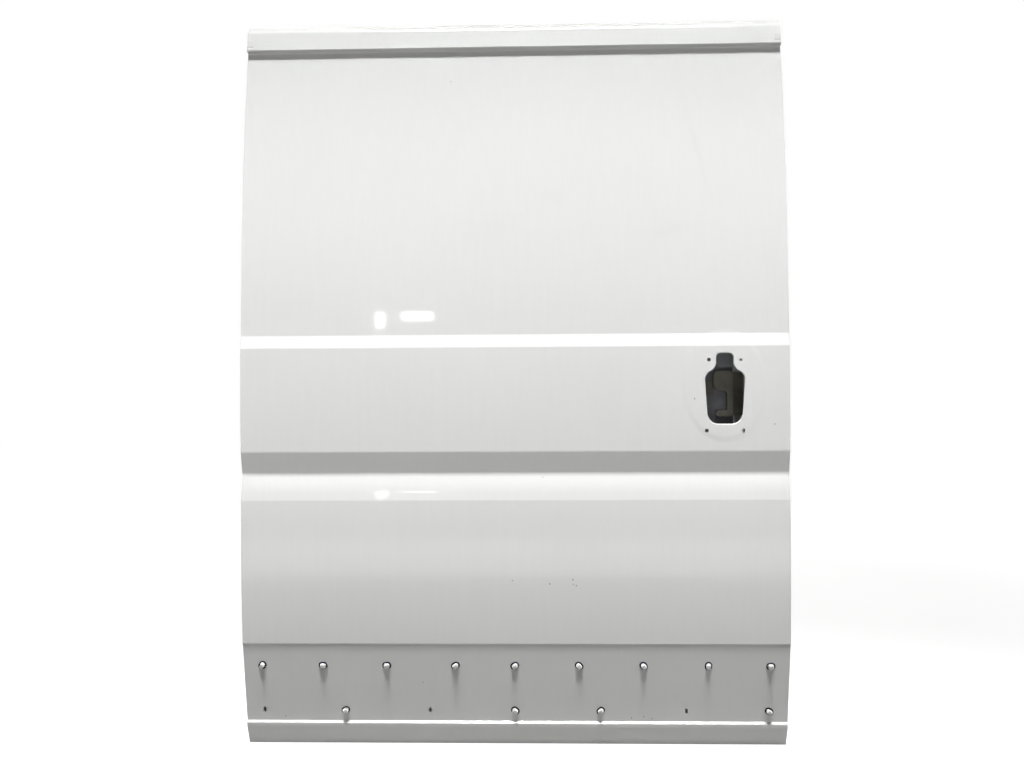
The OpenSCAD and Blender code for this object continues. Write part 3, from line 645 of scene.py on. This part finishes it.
def rounded_line(corners: Sequence[Corner]) -> list[Point]:
    """Rounds a line of corners.

    Args:
        corners: The corners in order.

    Returns:
        Depth and height of each point.
    """
    points = [corners[0][:2]]
    for before, corner, after in zip(corners, corners[1:], corners[2:]):
        a, b, c = (Vector(p[:2]) for p in (before, corner, after))
        u, v = (b - a).normalized(), (c - b).normalized()
        angle = math.atan2(u.x * v.y - u.y * v.x, u.dot(v))
        radius = corner.radius
        if radius < LEAST_RADIUS or abs(angle) < LEAST_TURN:
            points.append(tuple(b))
            continue
        start = b - u * radius * math.tan(abs(angle) / 2)
        centre = start + math.copysign(radius, angle) * Vector((-u.y, u.x))
        steps = math.ceil(max(2, math.degrees(abs(angle)) / ARC_TURN, radius * abs(angle) / ARC_PIECE))
        for i in range(steps + 1):
            points.append(tuple(centre + Matrix.Rotation(angle * i / steps, 2) @ (start - centre)))
    points.append(corners[-1][:2])
    return points


@dataclass
class OuterForm:
    """Section of the outer skin in depth and height, from the bottom edge to the top edge."""

    bottom_edge: Corner = Corner(68.0, 0.0)
    lip_top: Corner = Corner(45.5, 47.0, 30.0)
    ledge_foot: Corner = Corner(43.6, 56.0, 2.5)
    ledge_top: Corner = Corner(48.2, 61.5, 2.0)
    trim_middle: Corner = Corner(29.8, 146.25, 2600.0)
    trim_top: Corner = Corner(10.6, 250.5, 3.0)
    crease: Corner = Corner(7.0, 257.5, 6.0)
    lower_crown: Corner = Corner(-3.2, 429.0, 3500.0)
    shoulder: Corner = Corner(2.0, 601.0, 1.6)
    valley: Corner = Corner(6.7, 631.5, 260.0)
    groove: Corner = Corner(14.5, 662.0, 24.0)
    band_bottom: Corner = Corner(1.2, 718.0, 40.0)
    band_middle: Corner = Corner(-1.2, 842.0, 5600.0)
    band_top: Corner = Corner(1.2, 966.0, 12.0)
    upper_foot: Corner = Corner(9.2, 996.0, 12.0)
    upper_middle: Corner = Corner(18.4, 1354.0, 3700.442)
    drip_foot: Corner = Corner(89.0, 1699.0, 2.5)
    drip_underside: Corner = Corner(77.0, 1702.5, 1.2)
    drip_edge: Corner = Corner(75.5, 1704.5, 1.8)
    flange_foot: Corner = Corner(87.0, 1752.5, 16.0)
    top_edge: Corner = Corner(103.0, 1766.0)
    hem_width: float = 12.0
    slope_reach: float = 4.0
    points: list[Point] = field(default_factory=list)

    def __post_init__(self) -> None:
        """Works out the rounded line, with a point where the bottom hem ends."""
        line = rounded_line([
            self.bottom_edge, self.lip_top, self.ledge_foot, self.ledge_top, self.trim_middle,
            self.trim_top, self.crease, self.lower_crown, self.shoulder, self.valley, self.groove,
            self.band_bottom, self.band_middle, self.band_top, self.upper_foot, self.upper_middle,
            self.drip_foot, self.drip_underside, self.drip_edge, self.flange_foot, self.top_edge,
        ])
        hem_depth = line[0][0] + (line[1][0] - line[0][0]) * self.hem_width / (line[1][1] - line[0][1])
        self.points = [line[0], (hem_depth, self.hem_width), *line[1:]]

    def depth(self, z: float) -> float:
        """Depth of the skin at a height."""
        for (y0, z0), (y1, z1) in zip(self.points, self.points[1:]):
            if z <= z1:
                return y0 + (y1 - y0) * (z - z0) / (z1 - z0)
        return self.points[-1][0]

    def lean(self, z: float) -> float:
        """Angle in radians by which the skin leans inwards going up, at a height."""
        reach = self.slope_reach
        return math.atan2(self.depth(z + reach) - self.depth(z - reach), 2 * reach)


class Slot(NamedTuple):
    """An upright slot with round ends, or a round hole, by its middle and size in millimetres."""

    x: float
    z: float
    width: float
    height: float

    def outline(self) -> list[Point]:
        """Its outline in length and height."""
        sides = 24
        radius, straight = self.width / 2, (self.height - self.width) / 2
        points = []
        for i in range(sides):
            angle = 2 * math.pi * (i + 0.5) / sides
            lift = straight if math.sin(angle) > 0 else -straight
            points.append((self.x + radius * math.cos(angle), self.z + lift + radius * math.sin(angle)))
        return points


@dataclass
class HandleOpening:
    """The cut-out for the outer handle, with a rolled lip and four screw holes."""

    x: float = 502.0
    bottom: float = 781.0
    height: float = 167.0
    width: float = 93.0
    neck: float = 40.0
    neck_corner: float = 10.0
    shoulder_drop: float = 63.0
    shoulder_radius: float = 23.0
    toe_radius: float = 26.0
    toe_reach: float = 41.5
    fillet_radius: float = 24.0
    lip_depth: float = 6.0
    rim_radius: float = 2.6
    rim_rings: int = 6
    arc_turn: float = 6.0
    holes: tuple[Slot, ...] = (
        Slot(464.5, 933.0, 9.0, 9.0),
        Slot(539.5, 933.0, 6.5, 6.5),
        Slot(458.5, 765.0, 9.0, 9.0),
        Slot(545.5, 765.0, 6.5, 10.0),
    )

    def outline(self, grow: float) -> list[Point]:
        """Outline of the opening.

        Args:
            grow: How far it is moved outwards all round, in millimetres.

        Returns:
            Points in length and height, anticlockwise from outside.
        """
        shoulder = Vector((self.width / 2 - self.shoulder_radius, self.height - self.shoulder_drop))
        toe = Vector((self.toe_reach - self.toe_radius, self.toe_radius))
        reach = self.shoulder_radius + self.fillet_radius
        across = self.neck / 2 + self.fillet_radius
        fillet = Vector((across, shoulder.y + math.sqrt(reach**2 - (across - shoulder.x) ** 2)))
        corner = Vector((self.neck / 2 - self.neck_corner, self.height - self.neck_corner))
        span = toe - shoulder
        lean = math.degrees(math.asin((self.shoulder_radius - self.toe_radius) / span.length))
        side = math.degrees(math.atan2(span.y, span.x)) + 90 - lean
        waist = math.degrees(math.atan2(shoulder.y - fillet.y, shoulder.x - fillet.x))
        right = self.arc(corner, self.neck_corner + grow, 90, 0)
        right += self.arc(fillet, self.fillet_radius - grow, 180, 360 + waist)
        right += self.arc(shoulder, self.shoulder_radius + grow, 180 + waist, side)
        right += self.arc(toe, self.toe_radius + grow, side, -90)
        whole = [(-u, v) for u, v in right] + right[::-1]
        return [(self.x + u, self.bottom + v) for u, v in whole]

    def arc(self, centre: Vector, radius: float, start: float, end: float) -> list[Point]:
        """Points of an arc between two angles in degrees."""
        steps = max(2, round(abs(end - start) / self.arc_turn))
        angles = [math.radians(start + (end - start) * i / steps) for i in range(steps + 1)]
        return [(centre.x + radius * math.cos(a), centre.y + radius * math.sin(a)) for a in angles]


@dataclass(frozen=True)
class ClipRow:
    """A row of slots for trim clips below the crease, all in door millimetres.

    Each place along the door has the turn of its clip in degrees, or None where the slot is empty.
    """

    name: str
    height: float
    places: tuple[float, ...]
    turns: tuple[Optional[float], ...]
    slot_width: float = 7.0
    slot_height: float = 12.0

    def slots(self) -> list[Slot]:
        """All slots of the row."""
        return [Slot(x, self.height, self.slot_width, self.slot_height) for x in self.places]

    def clips(self) -> list[Point]:
        """Place and turn of each clip that is still in its slot."""
        return [(x, turn) for x, turn in zip(self.places, self.turns) if turn is not None]


CLIP_ROWS = (
    ClipRow(
        "upper", 203.0,
        (-609.5, -462.0, -308.0, -142.5, 0.0, 154.0, 308.0, 462.0, 609.5),
        (60, 0, 2, 32, 35, -45, -52, 88, 4),
    ),
    ClipRow(
        "lower", 89.0,
        (-609.5, -412.0, -206.0, 0.0, 206.0, 412.0, 609.5),
        (None, 30, None, -40, 45, None, -35),
    ),
)


@dataclass
class OuterSkin:
    """The pressed outer skin, with its folded hems and its holes."""

    length: float = 1310.0
    wall: float = 0.9
    fold: float = 3.1
    fold_radius: float = 1.3
    fold_steps: int = 4
    opening_cut: Point = (-20.0, 40.0)
    slot_cut: float = 8.0
    weld_reach: float = 0.02
    smooth_angle: float = 32.0
    form: OuterForm = field(default_factory=OuterForm)
    opening: HandleOpening = field(default_factory=HandleOpening)

    def sheet(self) -> bpy.types.Object:
        """Draws the outer face upwards edge by edge, then folds the hems back."""
        half = (self.length / 2 - self.fold_radius) * MM
        (y0, z0), (y1, z1) = self.form.points[:2]
        lean = (y1 - y0) / (z1 - z0)
        points = [(y0 + lean * self.fold_radius, self.fold_radius), *self.form.points[1:]]
        foot = place(0, *points[0])
        Bench.clear()
        bpy.ops.mesh.primitive_plane_add(size=2 * half, location=(foot.x, foot.y + half, foot.z))
        sheet = bpy.context.object
        with Bench.editing(sheet):
            Bench.pick(sheet, lambda p: p.y > foot.y + half)
            bpy.ops.mesh.delete(type="VERT")
            bpy.ops.mesh.select_mode(type="EDGE")
            bpy.ops.mesh.select_all(action="SELECT")
            for (y0, z0), (y1, z1) in zip(points, points[1:]):
                move = (0, (y1 - y0) * MM, (z1 - z0) * MM)
                bpy.ops.mesh.extrude_edges_move(TRANSFORM_OT_translate={"value": move})
            self.fold_hems(sheet, foot.z, lean)
            self.face_out(sheet)
        return sheet

    def fold_hems(self, sheet: bpy.types.Object, foot: float, lean: float) -> None:
        """Folds the side and bottom edges back round a small radius, then inwards.

        Args:
            sheet: The sheet in edit mode, one face wide.
            foot: Height of its bottom edge in metres.
            lean: How far the skin moves inwards for each length up, at the bottom.
        """
        middle = place(0, 0, 0)
        top = place(0, 0, self.form.top_edge.height - NEAR).z
        radius = self.fold_radius
        turns = [math.pi / 2 * i / self.fold_steps for i in range(self.fold_steps + 1)]
        path = [(radius * math.sin(a), radius * (1 - math.cos(a))) for a in turns]
        path += [(radius * math.cos(a), self.fold - radius * (1 - math.sin(a))) for a in turns]
        path.append((radius - self.form.hem_width, self.fold))
        mesh = bmesh.from_edit_mesh(sheet.data)
        for edge in mesh.edges:
            at_top = all((v.co + sheet.location).z > top for v in edge.verts)
            edge.select_set(edge.is_boundary and not at_top)
        bmesh.update_edit_mesh(sheet.data)
        for (out, back), (next_out, next_back) in zip(path, path[1:]):
            move = (0, (next_back - back) * MM, 0)
            bpy.ops.mesh.extrude_edges_move(TRANSFORM_OT_translate={"value": move})
            step = (next_out - out) * MM
            mesh = bmesh.from_edit_mesh(sheet.data)
            for vertex in [v for v in mesh.verts if v.select]:
                now = vertex.co + sheet.location
                vertex.co.x += step * math.copysign(1, now.x - middle.x)
                if now.z < foot - (out - NEAR) * MM:
                    vertex.co.z -= step
                    vertex.co.y -= step * lean
            bmesh.update_edit_mesh(sheet.data)

    def face_out(self, sheet: bpy.types.Object) -> None:
        """Joins doubled corners and turns the faces outwards, in edit mode."""
        bpy.ops.mesh.select_all(action="SELECT")
        bpy.ops.mesh.remove_doubles(threshold=self.weld_reach * MM)
        bpy.ops.mesh.normals_make_consistent(inside=False)
        mesh = bmesh.from_edit_mesh(sheet.data)
        widest = max(mesh.faces, key=lambda face: face.calc_area())
        if widest.normal.y > 0:
            bpy.ops.mesh.flip_normals()

    def cut(self, skin: bpy.types.Object) -> None:
        """Cuts the handle opening, its screw holes and the clip slots."""
        Bench.carve(skin, Bench.prism(self.opening.outline(self.opening.rim_radius), *self.opening_cut))
        slots = [*self.opening.holes]
        for row in CLIP_ROWS:
            slots += row.slots()
        tools = []
        for rim in (slot.outline() for slot in slots):
            near = self.form.depth(rim[0][1])
            tools.append(Bench.prism(rim, near - self.slot_cut, near + self.slot_cut))
        Bench.carve(skin, Bench.join(tools, "slot_cutters"))

    def rolled_lip(self) -> bpy.types.Object:
        """Rolls the lip of the handle opening inwards, ring by ring, out of a flat sheet."""
        radius, rings = self.opening.rim_radius, self.opening.rim_rings
        Bench.clear()
        lip = Bench.plate(self.opening.outline(radius), 0.0)
        with Bench.editing(lip):
            bpy.ops.mesh.select_mode(type="FACE")
            bpy.ops.mesh.select_all(action="SELECT")
            for i in range(rings):
                a = math.pi / 2 * i / rings
                b = math.pi / 2 * (i + 1) / rings
                step = radius * (math.sin(b) - math.sin(a)) * MM
                sink = radius * (math.cos(a) - math.cos(b)) * MM
                bpy.ops.mesh.inset(thickness=step, depth=-sink, use_even_offset=True)
            straight = (self.opening.lip_depth - radius) * MM
            bpy.ops.mesh.extrude_region_move(TRANSFORM_OT_translate={"value": (0, straight, 0)})
            bpy.ops.mesh.delete(type="FACE")
        for vertex in lip.data.vertices:
            vertex.co.y += self.form.depth(vertex.co.z / MM + SEAT_Z) * MM
        Bench.modify(lip, "SOLIDIFY", thickness=self.wall * MM, offset=-1.0, use_even_offset=True)
        for vertex in lip.data.vertices:
            vertex.co.y = max(vertex.co.y, place(0, self.form.depth(vertex.co.z / MM + SEAT_Z), 0).y)
        return lip

    def build(self) -> None:
        """Builds the skin."""
        skin = self.sheet()
        Bench.modify(skin, "SOLIDIFY", thickness=self.wall * MM, offset=-1.0, use_even_offset=True)
        top = place(0, 0, self.form.top_edge.height)
        with Bench.editing(skin):
            Bench.pick(skin, lambda p: p.z > top.z)
            bpy.ops.transform.resize(value=(1, 1, 0), center_override=top)
        self.cut(skin)
        skin = Bench.join([skin, self.rolled_lip()], "skin")
        Bench.smooth(skin, self.smooth_angle)
        Bench.settle(skin, "white_outer_skin", WHITE_PAINT, "white_paint", "outer_skin")


# Trim clips


@dataclass
class TrimClips:
    """Moulded clips with rubber seals, turned this way and that in their slots, in millimetres."""

    form: OuterForm = field(default_factory=OuterForm)
    head: Triple = (12.4, 10.6, 8.0)
    head_taper: float = 0.93
    head_corner: float = 2.2
    head_edge: float = 1.1
    flange: float = 1.6
    flange_edge: float = 0.5
    flange_sides: int = 40
    seal: Triple = (22.0, 17.8, 2.4)
    seal_rim: float = 3.4
    seal_sink: float = 0.3
    seal_sides: tuple[int, int] = (48, 14)
    lift: float = 0.2
    smooth_angle: float = 40.0

    def clip(self) -> bpy.types.Object:
        """One clip head on its flange, about its own middle and standing up along Z."""
        length, width, height = (v * MM for v in self.head)
        foot = (self.lift + self.seal[2] + self.flange / 2) * MM
        top = foot + height
        Bench.clear()
        bpy.ops.mesh.primitive_cube_add(size=1, location=(0, 0, foot + height / 2))
        block = bpy.context.object
        block.scale = (length, width, height)
        bpy.ops.object.transform_apply(location=True, rotation=True, scale=True)
        with Bench.editing(block):
            Bench.pick(block, lambda p: p.z > top - NEAR * MM, Pick.FACES)
            bpy.ops.transform.resize(value=(self.head_taper, self.head_taper, 1))
            bpy.ops.mesh.select_all(action="DESELECT")
            bpy.ops.mesh.select_mode(type="EDGE")
            mesh = bmesh.from_edit_mesh(block.data)
            for edge in mesh.edges:
                edge.select_set(abs(edge.verts[0].co.z - edge.verts[1].co.z) > height / 2)
            bmesh.update_edit_mesh(block.data)
            bpy.ops.mesh.bevel(offset=self.head_corner * MM, segments=4, affect="EDGES")
            Bench.pick(block, lambda p: p.z > top - NEAR * MM, Pick.FACES)
            bpy.ops.mesh.bevel(offset=self.head_edge * MM, segments=3, affect="EDGES")
        Bench.clear()
        bpy.ops.mesh.primitive_cylinder_add(
            vertices=self.flange_sides, radius=(self.seal[1] / 2 - self.seal_rim) * MM,
            depth=self.flange * MM, location=(0, 0, foot),
        )
        flange = bpy.context.object
        bpy.ops.object.transform_apply(location=True, rotation=True, scale=True)
        self.draw_out(flange)
        with Bench.editing(flange):
            Bench.pick(flange, lambda p: p.z > foot, Pick.FACES)
            bpy.ops.mesh.bevel(offset=self.flange_edge * MM, segments=2, affect="EDGES")
        clip = Bench.join([block, flange], "clip")
        Bench.only(clip)
        bpy.ops.object.shade_smooth_by_angle(angle=math.radians(self.smooth_angle))
        return clip

    def draw_out(self, piece: bpy.types.Object) -> None:
        """Makes a round piece oblong by moving its two halves apart."""
        spread = (self.seal[0] - self.seal[1]) / 2
        for side in (-1, 1):
            with Bench.editing(piece):
                Bench.pick(piece, lambda p, s=side: p.x * s > NEAR * MM)
                Bench.shift(side * spread, 0, 0)

    def seal_ring(self) -> bpy.types.Object:
        """One oblong rubber ring, lying on the skin."""
        width, height = self.seal[1], self.seal[2] + self.lift
        rings, sides = self.seal_sides
        Bench.clear()
        bpy.ops.mesh.primitive_torus_add(
            major_segments=rings, minor_segments=sides, major_radius=(width - self.seal_rim) / 2 * MM,
            minor_radius=self.seal_rim / 2 * MM, location=(0, 0, 0),
        )
        ring = bpy.context.object
        with Bench.editing(ring):
            bpy.ops.mesh.select_all(action="SELECT")
            bpy.ops.transform.resize(value=(1, 1, (height + self.seal_sink) / self.seal_rim))
            Bench.shift(0, 0, (height - self.seal_sink) / 2)
        self.draw_out(ring)
        Bench.only(ring)
        bpy.ops.object.shade_smooth()
        return ring

    def copies(self, model: bpy.types.Object, row: ClipRow, name: str) -> bpy.types.Object:
        """Stands copies of a model on the skin, one where each clip of a row is.

        Args:
            model: The piece to copy.
            row: The row of clips.
            name: Name of the joined copies.

        Returns:
            The joined copies.
        """
        made = []
        for x, turn in row.clips():
            copy = model.copy()
            copy.data = model.data.copy()
            bpy.context.collection.objects.link(copy)
            stand = Matrix.Translation(place(x, self.form.depth(row.height), row.height))
            stand @= Matrix.Rotation(math.pi / 2 - self.form.lean(row.height), 4, "X")
            copy.data.transform(stand @ Matrix.Rotation(math.radians(turn), 4, "Z"))
            made.append(copy)
        return Bench.join(made, name)

    def build(self) -> None:
        """Builds both rows of clips and seals."""
        clip, ring = self.clip(), self.seal_ring()
        for row in CLIP_ROWS:
            name = row.name
            clips = self.copies(clip, row, f"{name}_clips")
            Bench.settle(clips, f"{name}_clip_heads", CLIP_PLASTIC, "clip_plastic", f"{name}_trim_clips")
            rings = self.copies(ring, row, f"{name}_rings")
            Bench.settle(rings, f"{name}_seal_rings", SEAL_RUBBER, "seal_rubber", f"{name}_clip_seals")
        for model in (clip, ring):
            bpy.data.objects.remove(model)


# Inner side


@dataclass
class InnerSide:
    """The CAD nodes behind the skin, which keep their shape and get their finishes."""

    finishes: dict[str, Finish] = field(
        default_factory=lambda: {
            "inner_paint": INNER_PAINT,
            "grey_primer": GREY_PRIMER,
            "olive_primer": OLIVE_PRIMER,
            "zinc_steel": ZINC,
            "mastic": MASTIC,
            "white_paint": WHITE_PAINT,
            "seal_rubber": SEAL_RUBBER,
            "clip_plastic": CLIP_PLASTIC,
        }
    )

    def dress(self) -> None:
        """Gives every CAD node the finish of its slot."""
        for entry in frame["record"]["subparts"]:
            node = frame["nodes"][entry["node"]]
            finish = self.finishes[entry["material_slot"]]
            node.data.materials.clear()
            node.data.materials.append(finish.material())
            log.info("%s: %s", entry["node"], finish.name)


# Studio


@dataclass(frozen=True)
class Lamp:
    """A soft rectangular lamp that looks at a place, in metres of the row's frame."""

    name: str
    at: Triple
    aim: Triple
    size: Point
    watts: float
    spread: float = 180.0

    def build(self) -> None:
        """Hangs the lamp."""
        data = bpy.data.lights.new(self.name, "AREA")
        data.shape = "RECTANGLE"
        data.size, data.size_y = self.size
        data.energy = self.watts
        data.spread = math.radians(self.spread)
        lamp = bpy.data.objects.new(self.name, data)
        lamp.location = self.at
        lamp.rotation_euler = (Vector(self.aim) - Vector(self.at)).to_track_quat("-Z", "Y").to_euler()
        lamp.visible_camera = False
        bpy.context.collection.objects.link(lamp)


@dataclass
class Studio:
    """Floor, surroundings, lamps and camera.

    The camera's place is in door millimetres, its turn and roll in radians and its focal length in
    pixels of the photograph. The floor is in metres. It glows evenly near the place that glow_shift
    gives along it, and then rises to white over the distances in glow_rise.
    """

    camera_at: Triple = (79.65, -2600.0, 880.32)
    camera_turn: float = 0.031482
    camera_roll: float = -0.005645
    focal_length: float = 1092.97
    picture_width: float = 1024.0
    sensor_width: float = 36.0
    view_reach: float = 60.0
    floor_size: float = 24.0
    floor_middle: Triple = (0.6, 2.0, -0.850)
    floor_tints: tuple[Colour, Colour] = ((0.27, 0.27, 0.265), (0.31, 0.31, 0.305))
    glow: float = 0.86
    glow_shift: float = 0.6
    glow_rise: Point = (1.0, 2.6)
    lamps: tuple[Lamp, ...] = (
        Lamp("ceiling_strip", (0.0, -1.2, 3.29), (0.0, -0.05, 0.25), (3.5, 0.5), 14.8, 22.6),
        Lamp("front_strip", (0.2, -1.9, 2.9), (0.2, -0.05, -0.6), (4.0, 0.4), 4.3, 20.0),
        Lamp("floor_bounce", (0.6, -3.0, -0.84), (0.6, -3.0, 2.0), (5.0, 2.0), 52.0),
        Lamp("round_reflection", (-0.347, -4.08, 0.651), (0.268, -0.07, 0.186), (0.056, 0.147), 0.5),
        Lamp("long_reflection", (-0.118, -4.08, 0.681), (0.358, -0.07, 0.192), (0.19, 0.10), 1.1),
        Lamp("inner_side", (0.6, 3.2, 2.4), (0.6, 0.0, 0.0), (4.0, 2.0), 60.0),
        Lamp("inner_side_low", (0.6, 4.0, 0.2), (0.6, 0.0, 0.0), (4.0, 1.5), 25.0),
    )

    def camera(self) -> None:
        """Stands the camera where the photograph was taken from."""
        data = bpy.data.cameras.new("camera")
        data.sensor_fit = "HORIZONTAL"
        data.sensor_width = self.sensor_width
        data.lens = self.sensor_width * self.focal_length / self.picture_width
        data.clip_end = self.view_reach
        camera = bpy.data.objects.new("camera", data)
        camera.location = place(*self.camera_at)
        facing = Matrix.Rotation(self.camera_turn, 3, "Z") @ Matrix.Rotation(math.pi / 2, 3, "X")
        camera.rotation_euler = (facing @ Matrix.Rotation(self.camera_roll, 3, "Z")).to_euler()
        bpy.context.collection.objects.link(camera)
        bpy.context.scene.camera = camera

    def world(self) -> None:
        """Surroundings that are white for the camera and for gloss, and give no other light."""
        world = bpy.data.worlds.new("studio")
        world.use_nodes = True
        bpy.context.scene.world = world
        graph = Graph(world.node_tree)
        seen = graph.rays("Is Camera Ray", "Is Glossy Ray", "Is Transmission Ray")
        light = graph.node("ShaderNodeBackground", {}, {"Color": (1.0, 1.0, 1.0), "Strength": seen})
        graph.node("ShaderNodeOutputWorld", {}, {"Surface": light})

    def floor(self) -> None:
        """A plain pale floor that shows white and keeps a faint shadow."""
        Bench.clear()
        bpy.ops.mesh.primitive_plane_add(size=self.floor_size, location=self.floor_middle)
        floor = bpy.context.object
        floor.name = "studio_floor"
        made = bpy.data.materials.new("pale_floor")
        made.use_nodes = True
        graph = Graph(made.node_tree)
        at = graph.at()
        x, y, _ = graph.lengths(at)
        seen = graph.rays("Is Camera Ray", "Is Glossy Ray")
        tint = graph.mix(graph.noise(at, 2.0), *self.floor_tints)
        plain = graph.node("ShaderNodeBsdfDiffuse", {}, {"Color": tint})
        far = x - self.glow_shift
        rise = (far * far + y * y).math("SQRT").ramp(*self.glow_rise)
        strength = rise * (1.0 - self.glow) + self.glow
        white = graph.node("ShaderNodeEmission", {}, {"Color": (1.0, 1.0, 1.0), "Strength": strength})
        both = graph.node("ShaderNodeAddShader", {}, {0: plain, 1: white})
        mixed = graph.node("ShaderNodeMixShader", {}, {0: seen, 1: plain, 2: both})
        graph.node("ShaderNodeOutputMaterial", {}, {"Surface": mixed})
        floor.data.materials.append(made)

    def build(self) -> None:
        """Sets the whole studio up."""
        self.camera()
        self.world()
        self.floor()
        for lamp in self.lamps:
            lamp.build()
        bpy.context.scene.view_settings.view_transform = "Standard"


def main() -> None:
    """Builds the studio and every piece, in order."""
    logging.basicConfig(level=logging.INFO, format="%(message)s")
    Studio().build()
    InnerSide().dress()
    OuterSkin().build()
    TrimClips().build()


if __name__ == "__main__":
    main()
